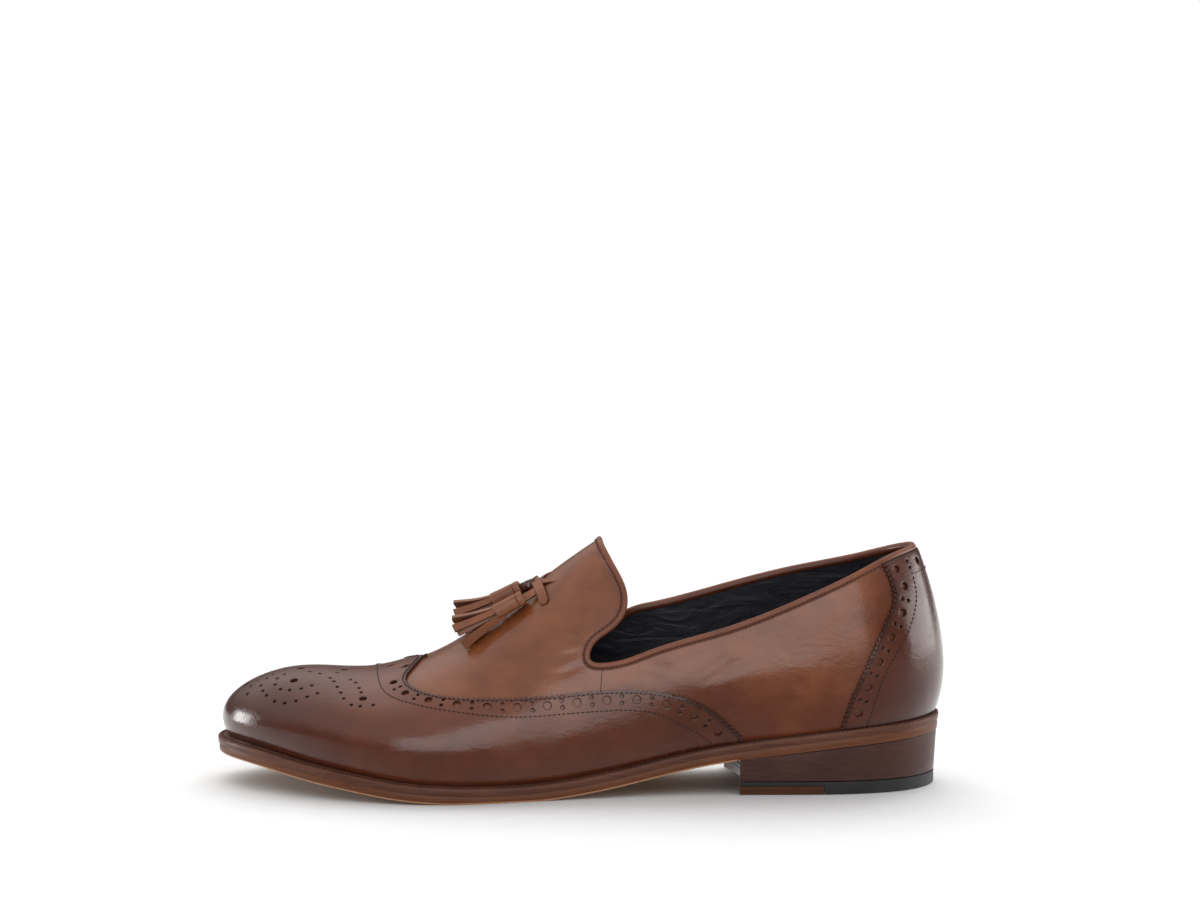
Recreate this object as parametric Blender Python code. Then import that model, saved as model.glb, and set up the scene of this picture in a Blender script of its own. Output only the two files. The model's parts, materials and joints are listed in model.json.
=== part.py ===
"""Left tassel loafer with a wingtip: a hollow leather upper on a welted leather sole.

Sizes are in millimetres until the meshes are made. +X runs from the toe to the
heel, +Y from the outer (lateral) to the inner (medial) side, +Z up from the floor.
"""
import bmesh
import bpy
import numpy as np
from mathutils import Matrix

MM = 0.001
LATERAL, MEDIAL = -1.0, 1.0

# Driving sizes
LAST_LENGTH = 296.5
BALL_WIDTH = 99.4
INSTEP_RISE = 76.1
HEEL_SEAT = 30.2
TOE_TIP_X = -147.0
GAP = 0.3

# Mesh density: spokes on each side of the upper, rows below and above the overlay edges
SPOKES = 40
ROWS_BELOW = 8
ROWS_ABOVE = 6
ROW_CROWDING = 1.4
TURN_CROWDING = 26.0
FINE_STEPS = 1201
SPOKE_STEPS = 161
HALVINGS = 44

# Upper wall, collar and overlays
WALL = 2.0
OVERLAY = 1.1
BINDING = 2.0
BINDING_PROUD = 0.5
BINDING_SHOULDER = 0.65
BINDING_ROUND = 0.8

# Profile of the back and the nose of the last in side view
BACK_LEAN = 12.0
BACK_CURVE = 1.75
BACK_TUCK = 3.3
BACK_WIDEST = 48.5
BACK_FROM_X, BACK_TO_X = 60.0, 140.0
COLLAR_TOP = 100.0
TOE_TUCK = 1.5
NOSE_HEIGHT = 27.0
NOSE_FOOT = 20.5
NOSE_FROM_X, NOSE_TO_X = -100.0, -140.0

# Spine inside the last that its surface is cast from: how far it ends from the toe and
# the heel, its share of the height and of the skew, and where its rays become level
SPINE_TOE, SPINE_HEEL = 27.0, 36.0
SPINE_HEIGHT, SPINE_SKEW = 0.42, 0.2
LEVEL_FROM_X, LEVEL_TO_X = 25.0, 60.0
CAST_REACH = 4.0

# Run of the spokes over the vamp: where they start to bend, and how far they reach
FRONT_FROM = 0.42
SPOKE_REACH, SPOKE_FRONT_REACH = 0.33, 0.15
SPOKE_RISE = 30.0
SPOKE_INWARD = 0.3

# Sole and heel
SOLE_BAND = 7.4
WELT = 3.2
SOLE_STEP = 0.5
SOLE_BEVEL = 0.8
SEAT_CLEAR = 0.2
INSOLE = 3.0
LIFT = 5.3
INSERT = 3.5
INSERT_END_X = 100.0
HEEL_TAPER = 1.0
BREAST_LATERAL_X = 65.4
BREAST_MEDIAL_X = 61.0
BREAST_HOLLOW = 5.0
BREAST_STEPS = 8
BREAST_CLEAR = 2.0
CUTTER_START_X = 40.0
CUTTER_HALF = 60.0
CUTTER_BELOW = 5.0

# Tassels: neck and fringe end in the shoe's frame, and the plan place of the slit
# in the vamp that the tassel's cord runs back to, crossing under the keeper.
TASSEL_PLACES = {
    "tassel_lateral": ((-22.5, -13.5, 79.6), (-49.5, -13.5, 64.4), (-9.0, 5.0)),
    "tassel_medial": ((-26.0, 2.5, 82.2), (-50.5, 4.5, 69.5), (-10.0, -10.0)),
}
TASSEL_SIDES = 24
RIB_SIDES = 4
CORD_RADIUS = 1.3
CORD_SIDES = 8
CORD_CLEAR = 0.1
CORD_STUB = 3.0
CROSSING_RISE = 0.4
SLOPE_STEP = 0.5
CROSSING = (-16.6, -4.0)
KEEPER_ENDS = (-17.5, 9.0)
KEEPER_SLANT = -0.19
KEEPER_WIDTH = 4.2
KEEPER_THICK = 1.4
KEEPER_BULGE = 1.8
KEEPER_STEPS = 9

# Sections of the last, from the toe tip (0) to the heel back (1).
# middle, bulge and skew are millimetres; half is a share of half the ball width,
# feather a share of the heel seat height and rise a share of the instep rise.
LAST_COLUMNS = ("along", "middle", "half", "feather", "bulge", "rise", "skew", "fall", "tuck")
LAST_ROWS = (
    (0.000, 8.0, 0.000, 0.630, 7.5, 0.000, 0.0, 2.00, 0.06),
    (0.030, 7.3, 0.400, 0.610, 7.5, 0.164, 0.2, 2.00, 0.06),
    (0.100, 5.0, 0.720, 0.510, 9.0, 0.273, 1.5, 2.00, 0.06),
    (0.150, 3.0, 0.861, 0.440, 10.0, 0.288, 2.5, 2.00, 0.06),
    (0.210, 0.8, 0.962, 0.350, 11.0, 0.313, 4.0, 1.95, 0.055),
    (0.260, -0.8, 1.000, 0.285, 12.0, 0.376, 5.0, 1.90, 0.05),
    (0.310, -2.2, 0.990, 0.250, 13.0, 0.461, 6.0, 1.75, 0.05),
    (0.430, -4.0, 0.837, 0.238, 15.0, 0.773, 6.0, 1.50, 0.08),
    (0.540, -5.0, 0.688, 0.375, 17.0, 1.000, 5.4, 1.45, 0.105),
    (0.660, -3.2, 0.648, 0.630, 19.0, 1.080, 3.0, 1.60, 0.115),
    (0.800, -0.5, 0.682, 0.820, 20.0, 1.051, 0.0, 1.90, 0.08),
    (0.910, 0.0, 0.624, 0.932, 20.0, 0.983, 0.0, 2.00, 0.07),
    (0.965, 0.0, 0.455, 0.974, 19.0, 0.954, 0.0, 2.00, 0.07),
    (1.000, 0.0, 0.000, 1.000, 18.0, 0.944, 0.0, 2.00, 0.07),
)

# Edge of the opening in side view, from the tongue tip to the back seam:
# x and height on the lateral side, then on the medial side.
OPENING_ROWS = (
    (9.0, 101.5, 9.0, 101.5),
    (14.4, 92.8, 13.4, 88.6),
    (19.4, 82.0, 17.2, 79.0),
    (18.4, 73.8, 16.2, 74.2),
    (11.5, 66.6, 10.6, 70.8),
    (4.9, 60.4, 5.0, 67.6),
    (4.6, 56.2, 6.4, 64.4),
    (10.0, 55.0, 20.0, 68.4),
    (29.0, 60.1, 30.0, 71.4),
    (60.0, 69.2, 60.0, 78.8),
    (90.0, 80.8, 90.0, 86.0),
    (115.0, 92.0, 115.0, 91.4),
    (130.0, 98.0, 130.0, 96.4),
    (137.6, 99.4, 137.6, 99.4),
)

# Edge of the overlays: share of the feather line from back to toe, and millimetres
# up the upper from the feather. The counter runs to 0.22, the wing from 0.315 to the toe.
COUNTER_END, WING_START = 0.22, 0.315
OVERLAY_EDGE_ROWS = (
    (0.000, 66.0), (0.050, 65.0), (0.085, 60.0), (0.100, 48.0), (0.133, 36.6),
    (0.165, 24.0), (0.190, 14.5), (0.220, 3.0), (0.300, 3.0), (0.315, 4.0), (0.328, 9.0),
    (0.340, 16.0), (0.365, 23.0), (0.405, 30.0), (0.450, 37.0), (0.517, 40.0), (0.603, 46.5),
    (0.660, 47.5), (0.718, 47.5), (0.772, 51.0), (0.820, 60.0), (0.925, 92.0),
    (0.960, 98.5), (1.000, 103.0),
)

# Reach of the welt beyond the feather: station along the shoe, lateral and medial reach.
WELT_ROWS = (
    (0.00, 5.5, 5.5), (0.20, 5.2, 5.2), (0.45, 4.8, 4.6), (0.60, 4.0, 3.6),
    (0.75, 3.0, 3.0), (0.90, 2.4, 2.4), (1.00, 2.6, 2.6),
)

# Tassel sections along its axis: share of the length, half width, half thickness, strip depth.
TASSEL_ROWS = (
    (0.00, 1.9, 1.9, 0.0), (0.02, 3.1, 3.1, 0.0), (0.08, 3.5, 3.5, 0.0), (0.34, 3.6, 3.5, 0.0),
    (0.40, 3.3, 3.2, 0.0), (0.43, 3.4, 3.2, 0.1), (0.60, 4.9, 4.2, 0.5), (0.80, 6.3, 5.1, 0.8),
    (1.00, 7.4, 5.8, 1.0),
)

# Spokes of the upper: share of the feather line from back to toe, share of the opening
# edge that the spoke ends on, and its slope there in side view, in degrees up from +X,
# on the lateral and on the medial side.
SPOKE_ROWS = (
    (0.00, 0.000, 100.0, 100.0), (0.25, 0.355, 104.0, 104.0), (0.42, 0.600, 100.0, 100.0),
    (0.47, 0.670, 85.0, 85.0), (0.51, 0.725, 25.0, 25.0), (0.55, 0.755, 10.0, 5.0),
    (0.62, 0.810, 0.0, -30.0), (0.75, 0.890, 16.0, 16.0), (1.00, 1.000, 35.0, 35.0),
)


def spline(knots, values):
    """Natural cubic spline through the rows of a table."""
    knots = np.asarray(knots, float)
    values = np.asarray(values, float)
    gaps = np.diff(knots)
    slopes = np.diff(values) / gaps
    matrix = np.eye(len(knots))
    right = np.zeros(len(knots))
    for row in range(1, len(knots) - 1):
        matrix[row, row - 1:row + 2] = gaps[row - 1], 2 * (gaps[row - 1] + gaps[row]), gaps[row]
        right[row] = 6 * (slopes[row] - slopes[row - 1])
    bends = np.linalg.solve(matrix, right)

    def value_at(place):
        place = np.clip(place, knots[0], knots[-1])
        cell = np.clip(np.searchsorted(knots, place) - 1, 0, len(knots) - 2)
        after = (place - knots[cell]) / gaps[cell]
        before = 1 - after
        curve = (before ** 3 - before) * bends[cell] + (after ** 3 - after) * bends[cell + 1]
        return before * values[cell] + after * values[cell + 1] + curve * gaps[cell] ** 2 / 6

    return value_at


def smooth_step(low, high, value):
    share = np.clip((value - low) / (high - low), 0, 1)
    return share * share * (3 - 2 * share)


def last_splines():
    """One spline along the shoe for each column of the last's table."""
    rows = np.array(LAST_ROWS)
    stations = TOE_TIP_X + LAST_LENGTH * rows[:, 0]
    scale = {"half": BALL_WIDTH / 2, "feather": HEEL_SEAT, "rise": INSTEP_RISE}
    splines = {}
    for column, name in enumerate(LAST_COLUMNS[1:], start=1):
        values = rows[:, column] * scale.get(name, 1.0)
        closes = name in ("half", "rise")
        splines[name] = spline(stations, values ** 2 if closes else values)
    return splines


LAST = last_splines()


def last_at(station):
    """Section sizes at a station; the half width and the rise close round at their ends."""
    section = {name: curve(station) for name, curve in LAST.items()}
    for name in ("half", "rise"):
        section[name] = np.sqrt(np.maximum(section[name], 0))
    return section


def lean(x, z):
    """Shift of the heel and toe ends along X with height: the profile of back and nose."""
    up = np.clip((z - BACK_WIDEST) / (COLLAR_TOP - BACK_WIDEST), 0, 2)
    down = np.clip((BACK_WIDEST - z) / (BACK_WIDEST - HEEL_SEAT), 0, 1.5)
    back = -BACK_LEAN * up ** BACK_CURVE - BACK_TUCK * down ** 2
    low = np.clip((NOSE_HEIGHT - z) / (NOSE_HEIGHT - NOSE_FOOT), 0, 2)
    nose = TOE_TUCK * low ** 2
    return back * smooth_step(BACK_FROM_X, BACK_TO_X, x) + nose * smooth_step(NOSE_FROM_X, NOSE_TO_X, x)


def wall_at(x, z):
    """Middle line and half width of the last at a place of its side view."""
    station = x - lean(x, z)
    section = last_at(station)
    widest = section["feather"] + section["bulge"]
    below = np.clip((widest - z) / section["bulge"], 0, 2)
    above = np.clip((z - widest) / np.maximum(section["rise"], 1e-6), 0, 1)
    shape = (1 - section["tuck"] * below ** 2) * np.sqrt(1 - above ** section["fall"])
    middle = section["middle"] + section["skew"] * above ** 2
    return middle, section["half"] * shape


def is_inside(points):
    middle, half = wall_at(points[..., 0], points[..., 2])
    return np.abs(points[..., 1] - middle) < half


def resample(points, count, weights=None):
    """Points at even steps of the length along a polyline, or of a weighted length."""
    steps = np.linalg.norm(np.diff(points, axis=0), axis=1)
    if weights is not None:
        steps = steps * weights
    length = np.concatenate(([0], np.cumsum(steps)))
    places = np.linspace(0, length[-1], count) if np.isscalar(count) else count * length[-1]
    return np.stack([np.interp(places, length, points[:, axis]) for axis in range(3)], axis=1)


def feather_line(side, shares):
    """Edge where the upper meets the sole, from the heel back (0) to the toe tip (1)."""
    turn = np.linspace(0, np.pi, FINE_STEPS)
    station = TOE_TIP_X + LAST_LENGTH * (1 + np.cos(turn)) / 2
    section = last_at(station)
    x = station.copy()
    for _ in range(4):
        x = station + lean(x, section["feather"])
    half = section["half"] * (1 - section["tuck"])
    line = np.stack([x, section["middle"] + side * half, section["feather"]], axis=1)
    heading = np.unwrap(np.arctan2(np.gradient(line[:, 1]), np.gradient(line[:, 0])))
    steps = np.linalg.norm(np.diff(line, axis=0), axis=1)
    turning = np.abs(np.diff(heading)) / steps
    return resample(line, shares, 1 + TURN_CROWDING * turning)


def opening_line(side, shares):
    """Edge of the collar and tongue on the last, from the back seam (0) to the tongue tip (1)."""
    rows = np.array(OPENING_ROWS)[::-1]
    places = rows[:, 0:2] if side == LATERAL else rows[:, 2:4]
    chord = np.concatenate(([0], np.cumsum(np.linalg.norm(np.diff(places, axis=0), axis=1))))
    turn = (1 - np.cos(np.linspace(0, np.pi, FINE_STEPS))) / 2 * chord[-1]
    x, z = spline(chord, places[:, 0])(turn), spline(chord, places[:, 1])(turn)
    middle, half = wall_at(x, z)
    return resample(np.stack([x, middle + side * half, z], axis=1), shares)


def cast(targets):
    """Push points out from the middle of the last onto its surface."""
    x, z = targets[..., 0], targets[..., 2]
    spine_x = np.clip(x, TOE_TIP_X + SPINE_TOE, TOE_TIP_X + LAST_LENGTH - SPINE_HEEL)
    section = last_at(spine_x)
    height = section["bulge"] + section["rise"]
    rear = smooth_step(LEVEL_FROM_X, LEVEL_TO_X, x)
    spine_y = section["middle"] + SPINE_SKEW * section["skew"]
    spine_z = (section["feather"] + SPINE_HEIGHT * height) * (1 - rear) + z * rear
    spine = np.stack([spine_x, spine_y, spine_z], axis=-1)
    ray = targets - spine
    near = np.zeros(x.shape)
    far = np.full(x.shape, CAST_REACH)
    for _ in range(HALVINGS):
        half_way = (near + far) / 2
        inside = is_inside(spine + ray * half_way[..., None])
        near = np.where(inside, half_way, near)
        far = np.where(inside, far, half_way)
    return spine + ray * near[..., None]


def upper_half(side, shares):
    """Grid of points on one side of the upper: rows from the feather to the opening.

    One row of the grid follows the edge of the wing and the counter, so that both
    overlays are cut from the same rows as the wall below them.
    """
    foot = feather_line(side, shares)
    rows = np.array(SPOKE_ROWS)
    head = opening_line(side, np.interp(shares, rows[:, 0], rows[:, 1]))
    slope = np.radians(np.interp(shares, rows[:, 0], rows[:, 2 if side == LATERAL else 3]))
    front = smooth_step(FRONT_FROM, 1.0, shares)[:, None]
    span = head - foot
    reach = np.linalg.norm(span, axis=1, keepdims=True) * (SPOKE_REACH + SPOKE_FRONT_REACH * front)
    arrive = np.stack([np.cos(slope), 0 * slope, np.sin(slope)], axis=1)
    up = foot + span / 3 * (1 - front) + np.array([0, 0, SPOKE_RISE]) * front
    down = head - arrive * reach
    down[:, 1] -= SPOKE_INWARD * span[:, 1]
    along = np.linspace(0, 1, SPOKE_STEPS)[None, :, None]
    rest = 1 - along
    spokes = cast(rest ** 3 * foot[:, None] + 3 * rest ** 2 * along * up[:, None]
                  + 3 * rest * along ** 2 * down[:, None] + along ** 3 * head[:, None])
    edge_rows = np.array(OVERLAY_EDGE_ROWS)
    edges = np.interp(shares, edge_rows[:, 0], edge_rows[:, 1])
    grid = []
    for spoke, edge in zip(spokes, edges):
        length = np.linalg.norm(np.diff(spoke, axis=0), axis=1).sum()
        top = length - BINDING - GAP
        below = edge * np.linspace(0, 1, ROWS_BELOW + 1) ** ROW_CROWDING
        above = np.linspace(edge, top, ROWS_ABOVE + 1)[1:]
        grid.append(resample(spoke, np.concatenate([below, above]) / length))
    grid = cast(np.array(grid))
    grid[:, 0] = foot
    return grid


def upper_loop():
    """Closed loop of spokes: lateral side from back to toe, then medial side back again."""
    shares = np.linspace(0, 1, SPOKES + 1)
    lateral = upper_half(LATERAL, shares)
    medial = upper_half(MEDIAL, shares)
    return np.concatenate([lateral, medial[-2:0:-1]])


def grid_normals(grid):
    """Outward unit normals of a closed loop of spokes."""
    around = np.roll(grid, -1, axis=0) - np.roll(grid, 1, axis=0)
    upward = np.gradient(grid, axis=1)
    normals = np.cross(upward, around)
    return normals / np.linalg.norm(normals, axis=-1, keepdims=True)


def clear_objects():
    for item in list(bpy.data.objects):
        bpy.data.objects.remove(item)


def material(name, colour, roughness):
    finish = bpy.data.materials.new(name)
    finish.use_nodes = True
    shader = finish.node_tree.nodes["Principled BSDF"]
    shader.inputs["Base Color"].default_value = (*colour, 1.0)
    shader.inputs["Roughness"].default_value = roughness
    return finish


def add_solid(name, points, faces, finish):
    mesh = bpy.data.meshes.new(name)
    mesh.from_pydata((np.asarray(points) * MM).tolist(), [], faces)
    work = bmesh.new()
    work.from_mesh(mesh)
    bmesh.ops.recalc_face_normals(work, faces=work.faces)
    work.to_mesh(mesh)
    work.free()
    mesh.materials.append(finish)
    mesh.shade_smooth()
    solid = bpy.data.objects.new(name, mesh)
    bpy.context.collection.objects.link(solid)
    return solid


def ring_faces(rings, points_a_ring, closed=True):
    """Quads between rings of points; the rings close on themselves, and the stack too."""
    faces = []
    for ring in range(rings if closed else rings - 1):
        after = (ring + 1) % rings
        for point in range(points_a_ring):
            beside = (point + 1) % points_a_ring
            faces.append((ring * points_a_ring + point, ring * points_a_ring + beside,
                          after * points_a_ring + beside, after * points_a_ring + point))
    return faces


def split_faces(quads, points_a_ring):
    """Split the quads of a wall so that its outer and inner sides share their diagonals."""
    faces = []
    for low, beside, far, after in quads:
        if low % points_a_ring < points_a_ring // 2:
            faces += [(low, beside, far), (low, far, after)]
        else:
            faces += [(low, beside, after), (beside, far, after)]
    return faces


def make_upper(grid, normals, finish):
    inner = grid - WALL * normals
    inner[:, 0, 2] = grid[:, 0, 2]
    profile = np.concatenate([grid, inner[:, ::-1]], axis=1)
    spokes, points, _ = profile.shape
    faces = split_faces(ring_faces(spokes, points), points)
    add_solid("upper", profile.reshape(-1, 3), faces, finish)


def make_overlay(name, grid, normals, first, last, finish):
    """Shell over the rows below the overlay edge, from one spoke of the loop to another."""
    spokes = np.arange(first, last + 1) % len(grid)
    base = grid[spokes, :ROWS_BELOW + 1]
    lift = normals[spokes, :ROWS_BELOW + 1]
    inner = base + GAP * lift
    outer = base + (GAP + OVERLAY) * lift
    for shell in (inner, outer):
        shell[:, 0, 2] = base[:, 0, 2]
    profile = np.concatenate([outer, inner[:, ::-1]], axis=1)
    count, points, _ = profile.shape
    faces = split_faces(ring_faces(count, points, closed=False), points)
    for ring in (0, count - 1):
        start = ring * points
        for row in range(ROWS_BELOW):
            faces.append((start + row, start + row + 1, start + points - 2 - row, start + points - 1 - row))
    add_solid(name, profile.reshape(-1, 3), faces, finish)


def make_binding(grid, normals, finish):
    """Rolled edge that sits on the rim of the collar and tongue and stands a little proud."""
    top = grid[:, -1]
    lift = normals[:, -1]
    upward = np.cross(np.roll(top, -1, axis=0) - np.roll(top, 1, axis=0), lift)
    upward *= np.sign((upward * (top - grid[:, -2])).sum(axis=1, keepdims=True))
    upward /= np.linalg.norm(upward, axis=1, keepdims=True)
    outside, inside = BINDING_PROUD, -WALL - BINDING_PROUD
    shoulder, crown = GAP + BINDING * BINDING_SHOULDER, GAP + BINDING
    section = ((outside, GAP), (outside, shoulder), (outside - BINDING_ROUND, crown),
               (inside + BINDING_ROUND, crown), (inside, shoulder), (inside, GAP))
    profile = np.stack([top + out * lift + over * upward for out, over in section], axis=1)
    add_solid("collar_binding", profile.reshape(-1, 3), ring_faces(len(top), len(section)), finish)


def sole_outline(offset):
    """Closed plan outline round the shoe at an offset from the feather line, with its heights."""
    shares = np.linspace(0, 1, SPOKES + 1)
    line = np.concatenate([feather_line(LATERAL, shares), feather_line(MEDIAL, shares)[-2:0:-1]])
    heading = np.roll(line, -1, axis=0) - np.roll(line, 1, axis=0)
    outward = np.stack([heading[:, 1], -heading[:, 0]], axis=1)
    outward /= np.linalg.norm(outward, axis=1, keepdims=True)
    outward *= np.sign(outward[0, 0])
    moved = line.copy()
    moved[:, :2] += outward * np.broadcast_to(offset, len(line))[:, None]
    return moved


def welt_reach():
    """Reach of the welt beyond the feather at each point of the outline."""
    rows = np.array(WELT_ROWS)
    line = sole_outline(0.0)
    along = (line[:, 0] - TOE_TIP_X) / LAST_LENGTH
    lateral = spline(rows[:, 0], rows[:, 1])(along)
    medial = spline(rows[:, 0], rows[:, 2])(along)
    return np.where(np.arange(len(line)) <= SPOKES, lateral, medial)


def across_faces(start, count, flip):
    """Strips across a closed outline, from its lateral to its medial points."""
    faces = [(start, start + 1, start + count - 1)]
    half = count // 2
    for step in range(1, half - 1):
        faces.append((start + step, start + step + 1, start + count - step - 1, start + count - step))
    faces.append((start + half - 1, start + half, start + half + 1))
    return [face[::-1] for face in faces] if flip else faces


def make_plate(name, rings, finish):
    """Plate from stacked outlines, closed below the first and above the last."""
    count = len(rings[0])
    faces = ring_faces(len(rings), count, closed=False)
    faces += across_faces(0, count, False) + across_faces((len(rings) - 1) * count, count, True)
    add_solid(name, np.concatenate(rings), faces, finish)


def at_height(outline, heights):
    placed = outline.copy()
    placed[:, 2] = heights
    return placed


def make_sole(welt_finish, sole_finish, insole_finish):
    reach = welt_reach()
    feather = sole_outline(0.0)[:, 2]
    edge = sole_outline(reach)
    step = sole_outline(reach - SOLE_STEP)
    bevel = sole_outline(reach - SOLE_STEP - SOLE_BEVEL)
    seat = sole_outline(-WALL - SEAT_CLEAR)
    sock = sole_outline(-WALL - SEAT_CLEAR - GAP)
    welt_top = feather - GAP
    sole_top = welt_top - WELT - GAP
    tread = np.maximum(feather - SOLE_BAND, 0)
    welt_rings = [at_height(seat, welt_top), at_height(edge, welt_top),
                  at_height(edge, welt_top - WELT), at_height(seat, welt_top - WELT)]
    add_solid("welt", np.concatenate(welt_rings), ring_faces(4, len(edge)), welt_finish)
    make_plate("outsole", [at_height(bevel, tread), at_height(step, tread + SOLE_BEVEL),
                           at_height(step, sole_top)], sole_finish)
    make_plate("insole", [at_height(sock, sole_top + GAP), at_height(sock, feather + INSOLE)],
               insole_finish)


def heel_outline(inset):
    """Outline of the heel from its lateral front corner round the back, then along the breast."""
    outline = sole_outline(welt_reach() - SOLE_STEP - inset)
    lateral = outline[:SPOKES // 2]
    medial = outline[:SPOKES:-1][:SPOKES // 2]
    sides = []
    for side, corner in ((lateral, BREAST_LATERAL_X), (medial, BREAST_MEDIAL_X)):
        kept = side[side[:, 0] > corner + BREAST_CLEAR]
        after = side[len(kept)]
        share = (kept[-1, 0] - corner) / (kept[-1, 0] - after[0])
        sides.append(np.concatenate([kept, [kept[-1] + (after - kept[-1]) * share]]))
    front, rear = sides[0][-1], sides[1][-1]
    steps = np.linspace(0, 1, BREAST_STEPS + 1)[1:-1, None]
    breast = rear + (front - rear) * steps
    breast[:, 0] += BREAST_HOLLOW * 4 * (steps * (1 - steps))[:, 0]
    return np.concatenate([sides[0][::-1], sides[1], breast])


def make_heel(block_finish, lift_finish, insert_finish):
    top = heel_outline(GAP)
    base = heel_outline(GAP + HEEL_TAPER)
    seat = LAST["feather"](top[:, 0]) - SOLE_BAND - GAP
    floor = at_height(base, 0.0)
    capped_loft("heel_block", [at_height(base, LIFT + GAP), at_height(top, seat)], block_finish)
    lift = capped_loft("heel_lift", [floor, at_height(base, LIFT)], lift_finish)
    insert = capped_loft("heel_lift_insert", [floor, at_height(base, INSERT)], insert_finish)
    cut_box(lift, INSERT_END_X, INSERT + GAP, "DIFFERENCE")
    cut_box(insert, INSERT_END_X - GAP, INSERT + GAP, "INTERSECT")


def cut_box(solid, end_x, height, operation):
    """Cut a solid with a hidden box across the front of the heel, from below the floor."""
    corners = [(x, y, z) for x in (CUTTER_START_X, end_x) for y in (-CUTTER_HALF, CUTTER_HALF)
               for z in (-CUTTER_BELOW, height)]
    faces = [(0, 1, 3, 2), (4, 6, 7, 5), (0, 4, 5, 1), (2, 3, 7, 6), (0, 2, 6, 4), (1, 5, 7, 3)]
    cutter = add_solid(solid.name + "_cutter", np.array(corners, float), faces, solid.active_material)
    combine(solid, cutter, operation)


def combine(solid, other, operation):
    other.hide_render = True
    other.display_type = "WIRE"
    cut = solid.modifiers.new(operation.lower(), "BOOLEAN")
    cut.operation = operation
    cut.object = other
    cut.solver = "EXACT"


def vamp_height(x, y):
    """Height of the top of the vamp above a place in plan."""
    section = last_at(np.array(x, float))
    low = section["feather"] + section["bulge"]
    high = low + section["rise"]
    for _ in range(HALVINGS):
        half_way = (low + high) / 2
        inside = is_inside(np.array([x, y, half_way]))
        low, high = (half_way, high) if inside else (low, half_way)
    return float(low)


def over_vamp(x, y, lift):
    """Point at a distance from the vamp, straight out from its surface."""
    height = vamp_height(x, y)
    slope_x = vamp_height(x + SLOPE_STEP, y) - vamp_height(x - SLOPE_STEP, y)
    slope_y = vamp_height(x, y + SLOPE_STEP) - vamp_height(x, y - SLOPE_STEP)
    normal = np.array([-slope_x, -slope_y, 2 * SLOPE_STEP])
    return np.array([x, y, height]) + lift * normal / np.linalg.norm(normal)


def axis_frame(start, end):
    """Unit vectors along an axis, sideways and upwards."""
    along = (end - start) / np.linalg.norm(end - start)
    sideways = np.cross([0, 0, 1.0], along)
    sideways /= np.linalg.norm(sideways)
    return along, sideways, np.cross(along, sideways)


def capped_loft(name, rings, finish):
    count = len(rings[0])
    faces = ring_faces(len(rings), count, closed=False)
    last = (len(rings) - 1) * count
    faces += [tuple(range(count)), tuple(range(last + count - 1, last - 1, -1))]
    return add_solid(name, np.concatenate(rings), faces, finish)


def make_tassel(name, finish):
    """Rolled head that opens into a fringe; strips stand out as ribs of the fringe."""
    start, end = (np.array(point) for point in TASSEL_PLACES[name][:2])
    _, sideways, upward = axis_frame(start, end)
    angles = np.linspace(0, 2 * np.pi, TASSEL_SIDES, endpoint=False)
    rib = np.where(np.arange(TASSEL_SIDES) % RIB_SIDES < RIB_SIDES // 2, 0.5, -0.5)
    rings = []
    for share, width, thick, depth in TASSEL_ROWS:
        centre = start + (end - start) * share
        out = np.cos(angles) * (width + rib * depth)
        over = np.sin(angles) * (thick + rib * depth)
        rings.append(centre + out[:, None] * sideways + over[:, None] * upward)
    capped_loft(name, rings, finish)


def make_cord(name, path, finish):
    angles = np.linspace(0, 2 * np.pi, CORD_SIDES, endpoint=False)
    rings = []
    for index, point in enumerate(path):
        _, sideways, upward = axis_frame(path[max(index - 1, 0)], path[min(index + 1, len(path) - 1)])
        around = np.cos(angles)[:, None] * sideways + np.sin(angles)[:, None] * upward
        rings.append(point + CORD_RADIUS * around)
    return capped_loft(name, rings, finish)


def make_lace(finish):
    """Thong: two crossing cords, each from a tassel to a slit, under a keeper band."""
    rings = []
    low, high = KEEPER_ENDS
    for y in np.linspace(low, high, KEEPER_STEPS):
        rise = GAP + KEEPER_BULGE * np.sin((y - low) / (high - low) * np.pi)
        middle = CROSSING[0] + KEEPER_SLANT * (y - CROSSING[1])
        edges = (middle - KEEPER_WIDTH / 2, middle + KEEPER_WIDTH / 2)
        under = [over_vamp(x, y, rise) for x in edges]
        over = [over_vamp(x, y, rise + KEEPER_THICK) for x in edges[::-1]]
        rings.append(np.array(under + over))
    keeper = capped_loft("tassel_lace", rings, finish)
    for name, (neck, end, slit) in TASSEL_PLACES.items():
        neck = np.array(neck)
        along, _, _ = axis_frame(neck, np.array(end))
        clear = GAP + CORD_RADIUS + CORD_CLEAR
        path = [neck - along * GAP, neck - along * CORD_STUB, over_vamp(*CROSSING, clear + CROSSING_RISE),
                over_vamp(*slit, clear)]
        combine(keeper, make_cord(name + "_cord", path, finish), "UNION")


def centre_on_origin():
    """Move everything so that the middle of the box over the floor is at the origin."""
    solids = [item for item in bpy.data.objects if not item.hide_render]
    corners = np.array([corner.co[:] for item in solids for corner in item.data.vertices])
    middle = (corners.min(axis=0) + corners.max(axis=0)) / 2
    shift = Matrix.Translation((-middle[0], -middle[1], 0.0))
    for item in bpy.data.objects:
        item.data.transform(shift)


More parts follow.
